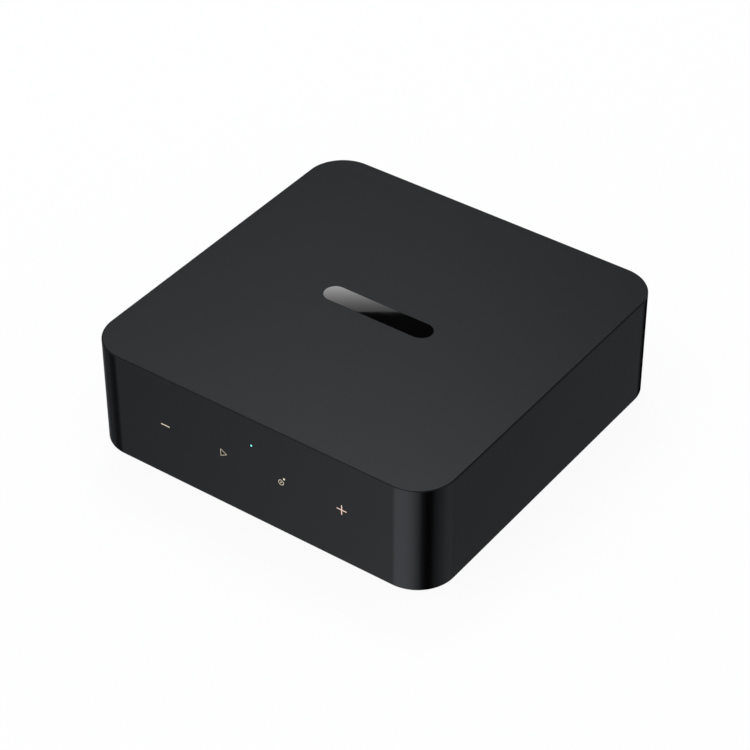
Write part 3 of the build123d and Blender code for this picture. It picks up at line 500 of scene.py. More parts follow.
def window_finish():
    """Tinted plastic of the network socket's two light windows: amber on one side and green on the other."""
    green, amber, haze = (0.07, 0.36, 0.06), (0.52, 0.24, 0.02), (0.5, 0.5, 0.4)
    finish = Finish("window_plastic", green, 0.22)
    side = finish.math("GREATER_THAN", finish.axis("X"), float(node_middle("ethernet_windows")[0][0]))
    tint = finish.blend(side, green, amber)
    finish.drive("Base Color", finish.blend(finish.patches(0.6 * MM, 0.0, 0.3), tint, haze))
    finish.vary_roughness(0.05, 0.6 * MM)
    finish.bump(finish.noise(0.4 * MM), 2 * MICRON)
    return finish.material


def bands(finish, axis, bend, pitch):
    """The size of a sine along an axis that is bent by noise: zero at every pitch and one halfway between."""
    along = finish.math("ADD", finish.axis(axis), bend)
    return finish.math("ABSOLUTE", finish.math("SINE", finish.math("MULTIPLY", along, math.pi / pitch)))


def board_finish(name, base, trace):
    """Solder resist over copper: traces are a fine weave of two sets of bands, each in areas of its own, and
    pads are the middles of random cells, tinned."""
    tin = (0.75, 0.7, 0.6)
    finish = Finish(name, base, 0.35)
    bend = finish.patches(6 * MM, -1.6 * MM, 1.6 * MM)
    along, across = bands(finish, "X", bend, 0.9 * MM), bands(finish, "Y", bend, 1.1 * MM)
    mottle = finish.ramp(finish.noise(9 * MM, 1.0), 0.5, 0.52)
    area = finish.ramp(mottle, 0.4, 0.6)
    chosen = finish.math("ADD", finish.math("MULTIPLY", along, area),
                         finish.math("MULTIPLY", across, finish.math("SUBTRACT", 1.0, area)))
    copper = finish.ramp(chosen, 0.45, 0.6)
    pads = finish.ramp(finish.cells(3.2 * MM), 0.12, 0.16, 1.0, 0.0)
    finish.drive("Base Color", finish.blend(pads, finish.blend(copper, base, trace), tin))
    finish.vary_roughness(0.08, 2 * MM)
    finish.bump(finish.math("ADD", copper, pads), 30 * MICRON)
    return finish.material


# The sender's bore: its axis above the element's underside and its floor behind the element's inner end, and
# the radii and depths over which the red glow in it fades
BORE_RISE = 4.7 * MM
BORE_FLOOR = 0.8 * MM
GLOW_SPAN = (0.8 * MM, 1.2 * MM)
GLOW_FADE = (0.1 * MM, 1.6 * MM)


def squared_offset(finish, axis, middle):
    """The square of a point's distance from a middle along one axis."""
    return finish.math("POWER", finish.math("SUBTRACT", finish.axis(axis), middle), 2.0)


def element_finish(name, glowing_node=None):
    """Black resin. On a node that sends, the bottom of the ferrule's bore glows red: the distance from the
    bore's axis is the root of the squares of the X and Z offsets, and the glow fades along Y."""
    dark, red = (0, 0, 0), (1.0, 0.02, 0.01)
    finish = Finish(name, (0.012, 0.006, 0.007), 0.2)
    finish.vary_colour(0.3, 2 * MM)
    finish.vary_roughness(0.04, 1.5 * MM)
    finish.bump(finish.noise(0.4 * MM), 3 * MICRON)
    if glowing_node:
        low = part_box(glowing_node)[0]
        bore_x = node_middle(glowing_node)[0][0]
        bore_z, bore_end = low[2] + BORE_RISE, low[1] + BORE_FLOOR
        squares = finish.math("ADD", squared_offset(finish, "X", bore_x), squared_offset(finish, "Z", bore_z))
        spot = finish.ramp(finish.math("SQRT", squares), *GLOW_SPAN, 1.0, 0.0)
        fade_start, fade_end = bore_end + GLOW_FADE[0], bore_end + GLOW_FADE[1]
        deep = finish.ramp(finish.axis("Y"), fade_start, fade_end, 1.0, 0.0)
        glow = finish.math("MULTIPLY", spot, deep)
        finish.drive("Emission Color", finish.blend(glow, dark, red))
        finish.drive("Emission Strength", 1.0)
    return finish.material


# Moulded and painted slots: colour, roughness, the grain's size in millimetres and depth in micrometres, and
# how far the colour drifts where that isn't the usual share
PLAIN_FINISHES = {
    "base": ((0.008, 0.008, 0.0088), 0.5, 0.35, 30),
    "foot_rubber": ((0.010, 0.010, 0.0105), 0.78, 0.22, 20, 0.1),
    "rear_plastic": ((0.007, 0.007, 0.0078), 0.42, 0.22, 16, 0.06),
    "socket_black": ((0.006, 0.006, 0.0068), 0.33, 0.18, 8),
    "shutter_grey": ((0.03, 0.03, 0.034), 0.36, 0.2, 8),
    "insulator_white": ((0.78, 0.77, 0.73), 0.32, 0.2, 6, 0.05),
    "insulator_red": ((0.52, 0.018, 0.014), 0.32, 0.2, 6),
    "insulator_orange": ((0.72, 0.16, 0.012), 0.32, 0.2, 6),
    "thermal_foam": ((0.33, 0.40, 0.48), 0.85, 0.3, 60),
    "rivet_nylon": ((0.72, 0.72, 0.68), 0.45, 0.3, 10, 0.05),
    "chip_resin": ((0.012, 0.012, 0.013), 0.55, 0.1, 10),
    "ferrite": ((0.05, 0.05, 0.054), 0.6, 0.12, 20),
    "key_foam": ((0.07, 0.07, 0.074), 0.9, 0.5, 200, 0.35),
    "flex_film": ((0.62, 0.62, 0.58), 0.3, 0.8, 10, 0.05),
    "ivory_nylon": ((0.68, 0.62, 0.47), 0.45, 0.3, 10, 0.05),
    "led_resin": ((0.78, 0.74, 0.42), 0.25, 0.3, 5, 0.05),
    "antenna_film": ((0.012, 0.012, 0.014), 0.4, 0.6, 10),
    "lead_jacket": ((0.01, 0.01, 0.01), 0.5, 0.4, 10),
}

# Metal slots: colour, roughness, the lines' stretch, their size in millimetres and depth in micrometres, and
# how metallic the surface is where that isn't wholly so
METAL_FINISHES = {
    "nickel_plate": ((0.74, 0.715, 0.67), 0.2, (0.03, 1, 0.03), 0.12, 0.5),
    "gold_plate": ((0.92, 0.66, 0.29), 0.22, (0.1, 1, 0.1), 0.2, 0.4, 0.85),
    "tinned_steel": ((0.68, 0.68, 0.67), 0.28, (0.4, 1, 0.4), 0.6, 0.5),
    "aluminium": ((0.78, 0.79, 0.8), 0.34, (10, 1, 1), 1.2, 1.0),
    "can_aluminium": ((0.8, 0.8, 0.8), 0.24, (1, 1, 8), 0.8, 0.8),
    "screw_steel": ((0.16, 0.16, 0.17), 0.35, (1, 1, 4), 0.6, 2.0),
}

SPECIAL_FINISHES = {
    "housing": housing_finish,
    "inlay": inlay_finish,
    "board": lambda: board_finish("main_board_resist", (0.012, 0.07, 0.035), (0.02, 0.12, 0.055)),
    "module_board": lambda: board_finish("module_resist", (0.012, 0.02, 0.08), (0.02, 0.035, 0.14)),
    "element_black": lambda: element_finish("receiver_resin"),
    "light_clear": light_finish,
    "window_clear": window_finish,
}


@functools.cache
def finish_of(slot):
    """The finish of a record's slot, made once."""
    if slot in SPECIAL_FINISHES:
        return SPECIAL_FINISHES[slot]()
    if slot in METAL_FINISHES:
        base, roughness, stretch, line, depth, *metallic = METAL_FINISHES[slot]
        line, depth = line * MM, depth * MICRON
        return drawn_metal(slot + "_surface", base, roughness, stretch, line, depth, *metallic)
    if slot in PLAIN_FINISHES:
        base, roughness, grain, depth, *drift = PLAIN_FINISHES[slot]
        return grained(slot + "_surface", base, roughness, grain * MM, depth * MICRON, *drift)
    raise ValueError("no finish is written for the slot " + slot)


def dress(*nodes):
    """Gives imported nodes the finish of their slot."""
    for node in nodes:
        give_finish(NODES[node], finish_of(SLOTS[node]))


# Settings


class StreamerBody(bpy.types.PropertyGroup):
    """Sizes of the housing and the inlay."""

    corner: length("Corner radius", "Radius of the housing's four upright corners", 14.2 * MM)
    top_edge: length("Top edge", "Radius of the edge between the walls and the top", 0.5 * MM)
    bottom_edge: length("Bottom edge", "Radius of the walls' lower edge", 0.3 * MM)
    wall: length("Wall", "Thickness of the walls", 2.2 * MM)
    roof: length("Roof", "Thickness of the top", 2.4 * MM)
    inlay_gap: length("Inlay gap", "Gap round the inlay in the top", 0.05 * MM)
    inlay_edge: length("Inlay edge", "Radius of the inlay's upper edge", 0.08 * MM)
    panel_lap: length("Panel lap", "How far the rear panel's flange lies behind the housing", 1.6 * MM)
    panel_corner: length("Panel corner", "Radius of the rear opening's upper corners", 2.0 * MM)
    pad_corner: length("Pad corner", "Radius of the foot pad's corners", 9.0 * MM)
    pad_edge: length("Pad edge", "Radius of the foot pad's lower edge", 0.2 * MM)
    screw: length("Screw place", "Distance of the corner screws from the middle", 57.5 * MM)
    boss: length("Boss radius", "Radius of the screw bosses", 3.4 * MM)
    corner_steps: bpy.props.IntProperty(
        name="Corner steps", description="Faces round each upright corner", default=48, min=4, max=128
    )


class StreamerFinishes(bpy.types.PropertyGroup):
    """Colour and gloss of the housing."""

    wall_colour: colour("Wall colour", "Colour of the glossy walls", (0.0008, 0.0008, 0.0010))
    top_colour: colour("Top colour", "Colour of the matt top", (0.0018, 0.0020, 0.0023))
    wall_roughness: share("Wall roughness", "Roughness of the walls", 0.17)
    top_roughness: share("Top roughness", "Roughness of the top", 0.4)
    grain_depth: length("Grain depth", "Depth of the top's fine texture", 4 * MICRON)
    wall_texture: share("Wall texture", "Share of the top's texture that the walls keep", 0.04)


class StreamerSigns(bpy.types.PropertyGroup):
    """The touch signs and the status light on the front wall."""

    level: length("Level", "Height of the row of signs", 21.9 * MM)
    stroke: length("Stroke", "Width of the minus and plus signs' lines", 0.385 * MM)
    fine_stroke: length("Fine stroke", "Width of the lines of the two outlined signs", 0.155 * MM)
    proud: length("Proud", "How far the lacquer stands out of the wall", 0.015 * MM)
    print_line: length("Print line", "Width of the lines of the signs on the rear panel", 0.24 * MM)
    upper_row: length("Upper row", "Height of the signs above the line sockets", 34.3 * MM)
    middle_row: length("Middle row", "Height of the signs above the middle sockets", 23.8 * MM)
    lower_row: length("Lower row", "Height of the signs above the trigger and power sockets", 16.6 * MM)
    warm_colour: colour("Warm colour", "Colour of the plus sign", (0.71, 0.51, 0.43))
    pale_colour: colour("Pale colour", "Colour of the minus, play and timer signs", (0.61, 0.535, 0.41))
    bright_colour: colour("Bright colour", "Colour of the timer sign's spot", (0.76, 0.69, 0.57))
    glow: amount("Glow", "Light from behind the signs", 0.45)
    light_colour: colour("Light colour", "Colour of the status light", (0.22, 0.78, 0.79))
    light_glow: amount("Light glow", "Strength of the status light", 1.1)


# The photograph's focal length and width in pixels, and the width of the camera's sensor in millimetres
FOCUS_PIXELS = 2585.4
PHOTO_PIXELS = 750
SENSOR_WIDE = 36


class StreamerStage(bpy.types.PropertyGroup):
    """Camera, lamps and surroundings."""

    azimuth: angle("Azimuth", "Camera's turn round the object, 0 in front", 35.751)
    elevation: angle("Elevation", "Camera's height above the horizon", 38.190)
    roll: angle("Roll", "Camera's turn about its own axis", -0.049)
    yaw: angle("Yaw", "Camera's aim to the side", -0.066)
    pitch: angle("Pitch", "Camera's aim up or down", 0.314)
    distance: length("Distance", "Camera's distance from the body's middle", 883.93 * MM)
    lens: amount("Lens", "Focal length in millimetres", FOCUS_PIXELS / PHOTO_PIXELS * SENSOR_WIDE)
    fill: amount("Fill", "Level of the soft light from all round", 0.8)
    key: amount("Key", "Power of the large lamp above, in watts", 3.0)
    back: amount("Back", "Power of the lamp behind the object, in watts", 12.2)
    box_glow: amount("Soft box", "Brightness of the soft box behind the object", 7.0)
    cut: number(
        "Cut", "Where along the inlay the soft box's mirror image ends", 0.0, unit="LENGTH", precision=5
    )


SETTINGS = {
    "streamer_body": StreamerBody,
    "streamer_finishes": StreamerFinishes,
    "streamer_signs": StreamerSigns,
    "streamer_stage": StreamerStage,
}


# Stage

# Nearest and farthest that the camera sees, in metres
CLIP = (0.01, 100.0)

# Half the floor's width, how far it lies under the foot pad, its grey and the share of plain white in it
FLOOR_REACH = 30.0
FLOOR_DROP = 0.1 * MM
FLOOR_GREY = 0.9
FLOOR_WHITE = 0.92

# The soft box's half width and its height at a metre's distance, the height over which its light fades, the
# power of that fade and the share of light that its dim edge keeps
BOX_HALF = 0.045
BOX_TALL = 0.032
BOX_FADE = 0.0235
BOX_CURVE = 1.6
BOX_DIM = 0.13

# The lamps: places, targets and sizes in metres, and the tint of the one behind, whose place is given by its
# turn from +X, its rise and its reach
KEY_PLACE = (-0.5, -0.7, 1.3)
KEY_TARGET = (0, 0, 0.02)
KEY_SIZE = 0.9
BACK_TURN = math.radians(131)
BACK_RISE = math.radians(60)
BACK_REACH = 2.5
BACK_TARGET = (0, 0, 0.042)
BACK_SIZE = 0.6
BACK_TINT = (0.925, 0.99, 1.055)


def camera_axes(stage):
    """The camera's right, up and back, and the way to it from the middle. That way is set by azimuth and
    elevation. Back is the way turned by yaw and pitch, and roll turns right and up about back."""
    turn, rise, roll = stage.azimuth, stage.elevation, stage.roll
    back = np.array([math.sin(turn) * math.cos(rise), -math.cos(turn) * math.cos(rise), math.sin(rise)])
    right = np.array([math.cos(turn), math.sin(turn), 0.0])
    up = np.cross(back, right)
    aimed = back * math.cos(stage.yaw) - right * math.sin(stage.yaw)
    side = np.cross(up, aimed)
    side /= np.linalg.norm(side)
    axis = aimed * math.cos(stage.pitch) + up * math.sin(stage.pitch)
    above = np.cross(axis, side)
    level = side * math.cos(roll) + above * math.sin(roll)
    return level, above * math.cos(roll) - side * math.sin(roll), axis, back


def stand(name, data, axes, point):
    """An object of the scene that holds the data and stands at a point with the given axes."""
    standing = bpy.data.objects.new(name, data)
    matrix = np.eye(4)
    matrix[:3, :3] = np.column_stack(axes)
    matrix[:3, 3] = point
    standing.matrix_world = Matrix(matrix)
    bpy.context.scene.collection.objects.link(standing)
    return standing


def make_camera(stage):
    """The camera at the photograph's place, aimed as the photograph's outline asks."""
    right, up, axis, back = camera_axes(stage)
    data = bpy.data.cameras.new("camera")
    data.lens = stage.lens
    data.clip_start, data.clip_end = CLIP
    eye = np.array([0, 0, SHELL_HIGH[2] / 2]) + back * stage.distance
    bpy.context.scene.camera = stand("camera", data, [right, up, axis], eye)
    return eye


# Brightness of the surroundings that gloss shows, by direction round the object in degrees from +X: what
# stands low round it, what stands level with it, and what hangs above. All have one slightly cool tint, and
# each ring passes into the next over a span of the direction's height. The even light has a tint of its own.
WHITE = (1, 1, 1, 1)
FILL_TINT = (0.97, 0.985, 1, 1)
RING_TINT = (0.93, 0.965, 1.035)
LEVEL_SPAN = (-0.45, -0.2)
HIGH_SPAN = (0.05, 0.45)
LOW_RING = (
    (-180, 0.080), (-172, 0.100), (-156, 0.045), (-144, 0.040), (-134, 0.255), (-126, 0.45), (-114, 0.93),
    (-100, 0.96), (-88, 1.01), (-76, 0.92), (-64, 0.70), (-54, 0.43), (-44, 0.08), (-32, 0.0), (-22, 0.0),
    (-6, 0.15), (8, 0.22), (24, 0.28), (40, 0.25), (54, 0.155), (66, 0.155), (76, 0.03), (88, 0.0),
    (106, 0.0), (120, 0.10), (140, 0.20), (158, 0.12), (172, 0.07),
)
LEVEL_RING = (
    (-180, 0.30), (-158, 0.16), (-140, 0.16), (-122, 0.30), (-100, 1.0), (-78, 0.85), (-55, 0.35),
    (-38, 0.12), (-20, 0.16), (2, 0.40), (20, 0.34), (38, 0.08), (52, 0.06), (68, 0.50), (90, 0.72),
    (112, 0.30), (128, 0.04), (142, 0.22), (160, 0.40),
)
HIGH_RING = (
    (-180, 0.06), (-150, 0.22), (-125, 0.34), (-95, 0.46), (-60, 0.36), (-25, 0.20), (25, 0.16), (60, 0.14),
    (85, 0.03), (105, 0.02), (155, 0.02),
)


def ring(nodes, turn, stops):
    """A ring's colour at a turn from zero to one, by a ramp with a stop at each direction."""
    ramp = nodes.node("ShaderNodeValToRGB", {0: turn})
    ramp.color_ramp.interpolation = "EASE"
    elements = ramp.color_ramp.elements
    for index, (degrees, light) in enumerate(stops):
        position = (degrees + 180) / 360
        stop = elements[index] if index < 2 else elements.new(position)
        stop.position = position
        stop.color = (*(light * part for part in RING_TINT), 1)
    return ramp.outputs[0]


def make_world(stage):
    """White for the camera, an even grey for light, and for gloss three rings of soft boxes and dark gaps:
    low, level with the object and high. A direction's turn is the arctangent of its Y over its X."""
    world = bpy.data.worlds.new("studio")
    bpy.context.scene.world = world
    world.use_nodes = True
    world.node_tree.nodes.clear()
    nodes = Nodes(world.node_tree)
    where = nodes.node("ShaderNodeTexCoord").outputs["Generated"]
    parts = nodes.node("ShaderNodeSeparateXYZ", {0: where}).outputs
    turn = nodes.ramp(nodes.math("ARCTAN2", parts["Y"], parts["X"]), -math.pi, math.pi, smooth=False)
    low, level, high = (ring(nodes, turn, stops) for stops in (LOW_RING, LEVEL_RING, HIGH_RING))
    lower = nodes.blend(nodes.ramp(parts["Z"], *LEVEL_SPAN), low, level)
    rings = nodes.blend(nodes.ramp(parts["Z"], *HIGH_SPAN), lower, high)
    seen = nodes.output("ShaderNodeBackground", {"Color": WHITE})
    even = nodes.output("ShaderNodeBackground", {"Color": FILL_TINT, "Strength": stage.fill})
    mirrored = nodes.output("ShaderNodeBackground", {"Color": rings})
    ray = nodes.node("ShaderNodeLightPath").outputs
    clear = nodes.math("MAXIMUM", ray["Is Camera Ray"], ray["Is Transmission Ray"])
    whole = nodes.mixed(clear, nodes.mixed(ray["Is Glossy Ray"], even, mirrored), seen)
    nodes.node("ShaderNodeOutputWorld", {0: whole})


def plane_object(name, surface, corners):
    """A single four-sided face that only the stage has, and the node calls that fill its surface."""
    mesh = bpy.data.meshes.new(name)
    mesh.from_pydata(np.array(corners).tolist(), [], [[0, 1, 2, 3]])
    plane = bpy.data.objects.new(name, mesh)
    bpy.context.scene.collection.objects.link(plane)
    material = bpy.data.materials.new(surface)
    material.use_nodes = True
    material.node_tree.nodes.clear()
    mesh.materials.append(material)
    return plane, Nodes(material.node_tree)


def make_floor():
    """A pale floor that the camera alone sees: mostly even white, with enough plain surface to keep the
    object's shadow. From below it is see-through, so that the underside can be looked at."""
    outline = span_outline(-FLOOR_REACH, FLOOR_REACH, -FLOOR_REACH, FLOOR_REACH)
    floor, nodes = plane_object("floor", "floor_paper", at_height(outline, -FLOOR_DROP))
    grey = (FLOOR_GREY, FLOOR_GREY, FLOOR_GREY, 1)
    paper = nodes.output("ShaderNodeBsdfDiffuse", {"Color": grey})
    white = nodes.output("ShaderNodeEmission", {"Color": WHITE})
    through = nodes.output("ShaderNodeBsdfTransparent")
    below = nodes.node("ShaderNodeNewGeometry").outputs["Backfacing"]
    sided = nodes.mixed(below, nodes.mixed(FLOOR_WHITE, paper, white), through)
    nodes.node("ShaderNodeOutputMaterial", {0: sided})
    floor.visible_diffuse = floor.visible_glossy = floor.visible_transmission = False
    floor.visible_shadow = floor.visible_volume_scatter = False


def make_soft_box(stage, eye):
    """The small bright panel that the polished inlay mirrors. Its upper edge lies on the mirror ray of the
    point where the inlay turns dark, and its light fades towards that edge."""
    point = np.array([stage.cut, 0.0, SHELL_HIGH[2]])
    view = (eye - point) / np.linalg.norm(eye - point)
    ray = np.array([-view[0], -view[1], view[2]])
    middle = point + ray
    across = np.cross([0, 0, 1], ray)
    across /= np.linalg.norm(across)
    fall = -np.cross(ray, across)
    side, drop = across * BOX_HALF, fall * BOX_TALL
    corners = [middle + side, middle - side, middle - side + drop, middle + side + drop]
    box, nodes = plane_object("soft_box", "soft_box_cloth", corners)
    where = nodes.node("ShaderNodeTexCoord").outputs["Object"]
    height = nodes.node("ShaderNodeVectorMath", {0: where, 1: fall}, operation="DOT_PRODUCT").outputs["Value"]
    start = float(middle @ fall)
    fade = nodes.math("POWER", nodes.ramp(height, start, start + BOX_FADE, smooth=False), BOX_CURVE)
    dim = BOX_DIM * stage.box_glow
    light = nodes.math("MULTIPLY_ADD", fade, stage.box_glow - dim, dim)
    glow = nodes.output("ShaderNodeEmission", {"Color": WHITE, "Strength": light})
    nodes.node("ShaderNodeOutputMaterial", {0: glow})
    box.visible_camera = False
    box.visible_shadow = False


def make_lamp(name, point, target, size, watts, glossy, tint=(1, 1, 1)):
    """A square area lamp at a point, aimed at a target."""
    data = bpy.data.lights.new(name, "AREA")
    data.size = size
    data.energy = watts
    data.color = tint
    back = np.subtract(point, target)
    back /= np.linalg.norm(back)
    side = np.cross([0, 0, 1], back)
    side /= np.linalg.norm(side)
    stand(name, data, [side, np.cross(back, side), back], point).visible_glossy = glossy


class STREAMER_OT_stage(bpy.types.Operator):
    """Make the camera, the floor, the lamps and the surroundings"""

    bl_idname = "streamer.stage"
    bl_label = "Stage"

    def execute(self, context):
        stage = context.scene.streamer_stage
        context.scene.view_settings.view_transform = "Standard"
        eye = make_camera(stage)
        make_world(stage)
        make_floor()
        make_soft_box(stage, eye)
        make_lamp("key_lamp", KEY_PLACE, KEY_TARGET, KEY_SIZE, stage.key, False)
        flat = math.cos(BACK_RISE)
        away = np.array([flat * math.cos(BACK_TURN), flat * math.sin(BACK_TURN), math.sin(BACK_RISE)])
        make_lamp("back_lamp", away * BACK_REACH, BACK_TARGET, BACK_SIZE, stage.back, True, BACK_TINT)
        return {"FINISHED"}


# Housing


def body_normals(points, body):
    """The outer skin's own normal at points near it: along the line from the nearest point of the skeleton
    that the corner and edge radii leave, which is flat between the corners."""
    half = SHELL_HIGH[:2] - body.corner
    core = np.clip(points[:, :2], -half, half)
    flat = points[:, :2] - core
    reach = np.linalg.norm(flat, axis=1)
    away = flat / np.maximum(reach, TINY)[:, None]
    upper = points[:, 2] > SHELL_HIGH[2] / 2
    edge = np.where(upper, body.top_edge, body.bottom_edge)
    side = np.maximum(reach - (body.corner - edge), 0)
    rise = np.where(
        upper,
        np.maximum(points[:, 2] - (SHELL_HIGH[2] - body.top_edge), 0),
        -np.maximum(SHELL_LOW[2] + body.bottom_edge - points[:, 2], 0),
    )
    normal = np.column_stack([away * side[:, None], rise])
    return normal / np.maximum(np.linalg.norm(normal, axis=1), TINY)[:, None]


def gathered(items, key, kind, width=1):
    """One property of a mesh's points, faces or face corners as an array, with a row for each of them."""
    values = np.zeros(len(items) * width, kind)
    items.foreach_get(key, values)
    return values.reshape(-1, width)


def smooth_skin(piece, body):
    """Gives each face corner the outer skin's own normal where its face nearly faces that way, and its
    face's normal elsewhere."""
    mesh = piece.data
    points = gathered(mesh.vertices, "co", float, 3)
    faces = gathered(mesh.polygons, "normal", float, 3)
    totals = gathered(mesh.polygons, "loop_total", int)[:, 0]
    corner = gathered(mesh.loops, "vertex_index", int)[:, 0]
    flat = np.repeat(faces, totals, axis=0)
    skin = body_normals(points, body)[corner]
    near = (flat * skin).sum(1) > SKIN_COSINE
    mesh.polygons.foreach_set("use_smooth", np.ones(len(mesh.polygons), bool))
    mesh.normals_split_custom_set(np.where(near[:, None], skin, flat).tolist())
    mesh.update()


# Inner features: how far they and every cut run past the face that they meet, the gussets' foot above the
# base plate, half the thickness of gussets and ribs, the ribs' depth, the distance of their ends from the
# walls and their places as shares of the width
OVERRUN = 1.0 * MM
GUSSET_RISE = 6.0 * MM
RIB_HALF = 0.6 * MM
RIB_DEPTH = 1.8 * MM
RIB_GAP = 14.0 * MM
RIB_SHARES = (-0.32, -0.16, 0.16, 0.32)

# The touch board's rails: the gap round the board, their thickness and how far they lap over its ends
RAIL_GAP = 0.1 * MM
RAIL_THICK = 1.4 * MM
RAIL_LAP = 1.6 * MM

# Radii and depths of the holes for the corner screws and for the status light, and the radius of the edge
# between the walls' inner faces and the roof
SCREW_HOLE = 1.35 * MM
SCREW_DEPTH = 11.0 * MM
LIGHT_HOLE = 0.38 * MM
LIGHT_DEPTH = 4.0 * MM
ROOM_EDGE = 1.2 * MM


def block(x_span, y_span, z_span):
    """A block between two x, two y and two z values, of which the first two pairs stand in either order."""
    return solid(upright(span_outline(*sorted(x_span), *sorted(y_span)), *z_span))


def inner_features(body, roof):
    """The bosses, gussets, ribs and rails under the top, in groups whose members don't touch each other, and
    the holes of the corner screws."""
    foot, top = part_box("base_plate")[1][2], roof + OVERRUN
    wall_x, wall_y = SHELL_HIGH[:2] - body.wall / 2
    places = [(x, y) for x in (-body.screw, body.screw) for y in (-body.screw, body.screw)]
    bosses = [solid(upright(disc(x, y, body.boss), foot, top)) for x, y in places]
    level = (foot + GUSSET_RISE, top)
    across = [block((x, math.copysign(wall_x, x)), (y - RIB_HALF, y + RIB_HALF), level) for x, y in places]
    along = [block((x - RIB_HALF, x + RIB_HALF), (y, math.copysign(wall_y, y)), level) for x, y in places]
    reach = SHELL_HIGH[1] - body.wall - RIB_GAP
    ribs = [
        block((x - RIB_HALF, x + RIB_HALF), (-reach, reach), (roof - RIB_DEPTH, top))
        for x in np.array(RIB_SHARES) * 2 * SHELL_HIGH[0]
    ]
    low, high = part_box("touch_board")
    front, behind, above = low[1] - RAIL_GAP, high[1] + RAIL_GAP, high[2] + RAIL_GAP
    end, tip = high[0] + RAIL_GAP, high[0] - RAIL_LAP
    out, root, back = end + RAIL_THICK, -wall_y, behind + RAIL_THICK
    rail = np.array([(tip, root), (out, root), (out, back), (tip, back), (tip, behind), (end, behind),
                     (end, front), (tip, front)])
    rails = [solid(upright(rail * [side, 1], low[2], above)) for side in (-1, 1)]
    shelf = (above - MICRON, above + RAIL_THICK)
    ribs += [block((side * tip, side * out), (root, back), shelf) for side in (-1, 1)]
    holes = [solid(upright(disc(x, y, SCREW_HOLE), foot - OVERRUN, foot + SCREW_DEPTH)) for x, y in places]
    return (bosses, across, along, ribs, rails), holes


class STREAMER_OT_housing(bpy.types.Operator):
    """Make the one-piece housing with its rear opening, inlay pocket, light hole and inner features"""

    bl_idname = "streamer.housing"
    bl_label = "Housing"

    def execute(self, context):
        body = context.scene.streamer_body
        half_x, half_y = SHELL_HIGH[:2]
        low, high = SHELL_LOW[2], SHELL_HIGH[2]
        roof, inner_y, steps = high - body.roof, half_y - body.wall, body.corner_steps
        outer = rounded_block(
            half_x, half_y, body.corner, low, high, body.bottom_edge, body.top_edge, steps, edge_steps=10
        )
        room = rounded_block(
            half_x - body.wall, inner_y, body.corner - body.wall, low - OVERRUN, roof, 0.0, ROOM_EDGE, steps,
            edge_steps=4,
        )
        housing = mesh_object("housing", *solid(outer))
        combine(housing, [mesh_object("room", *solid(room))])
        groups, holes = inner_features(body, roof)
        combine(housing, [mesh_object("inner", *joined(group)) for group in groups], "UNION")
        wide, tall = np.array(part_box("rear_panel")[1])[[0, 2]] - body.panel_lap
        half_tall = (tall - low) / 2 + 2 * OVERRUN
        notch = rounded_block(
            wide, half_tall, body.panel_corner, inner_y - ROOM_EDGE, half_y + OVERRUN, steps=12
        )
        middle, half = node_middle("top_inlay")
        long, round_end = half[:2] + body.inlay_gap
        pocket = rounded_block(long, round_end, round_end, middle[2] - half[2], high + OVERRUN)
        hole = turned_rows([(LIGHT_HOLE, -half_y - OVERRUN), (LIGHT_HOLE, -half_y + LIGHT_DEPTH)], 32)
        combine(housing, [
            mesh_object("holes", *joined(holes)),
            mesh_object("notch", *solid(lying(notch) + [0, 0, tall - half_tall])),
            mesh_object("pocket", *solid(pocket)),
            mesh_object("hole", *solid(hole + [0, 0, node_middle("light_pipe")[0][2]])),
        ])
        smooth_skin(housing, body)
        stand_for(housing, "upper_shell")
        return {"FINISHED"}


class STREAMER_OT_inlay(bpy.types.Operator):
    """Make the plain polished inlay that lies flush in the top"""

    bl_idname = "streamer.inlay"
    bl_label = "Inlay"

    def execute(self, context):
        body = context.scene.streamer_body
        middle, half = node_middle("top_inlay")
        low, high = middle[2] - half[2], middle[2] + half[2]
        rows = rounded_block(
            half[0], half[1], half[1], low, high, 0.0, body.inlay_edge, steps=32, edge_steps=6
        )
        stand_for(even_shading(mesh_object("inlay", *solid(rows))), "top_inlay")
        return {"FINISHED"}


# Signs

# How deep the signs begin inside the wall that they stand on
SIGN_ROOT = 0.05 * MM


def sign_plate(outline, proud):
    """A filled sign: its outline in X and Z, from just inside the front wall to a little proud of it."""
    return solid(lying(upright(outline, SHELL_LOW[1] + SIGN_ROOT, SHELL_LOW[1] - proud)))


def sign_band(path, width, proud):
    """A line sign: a closed path given its width by moving it both ways along its normal."""
    back, front = SHELL_LOW[1] + SIGN_ROOT, SHELL_LOW[1] - proud
    outer, inner = offset_loop(path, width / 2), offset_loop(path, -width / 2)
    loops = ((outer, back), (outer, front), (inner, front), (inner, back))
    return solid(lying(np.array([at_height(loop, y) for loop, y in loops])), closed_rows=True)


# The radius of a bar's ends and of a plus sign's corners, as shares of the line's width
BAR_SHARE = 0.45
PLUS_SHARE = 0.12


def bar(x, z, long, thick, turn=0.0):
    """A straight stroke with rounded ends, turned about its middle."""
    outline = rounded_outline(long / 2, thick / 2, thick * BAR_SHARE, 6)
    cosine, sine = math.cos(turn), math.sin(turn)
    return outline @ np.array([[cosine, sine], [-sine, cosine]]) + [x, z]


def plus_outline(x, wide, tall, thick):
    """A plus sign's twelve corners, each slightly rounded, at a place on the row."""
    end, tip, line = wide / 2, tall / 2, thick / 2
    corners = [(end, -line), (end, line), (line, line), (line, tip), (-line, tip), (-line, line),
               (-end, line), (-end, -line), (-line, -line), (-line, -tip), (line, -tip), (line, -line)]
    return rounded_corners(corners, thick * PLUS_SHARE, 3) + [x, 0]


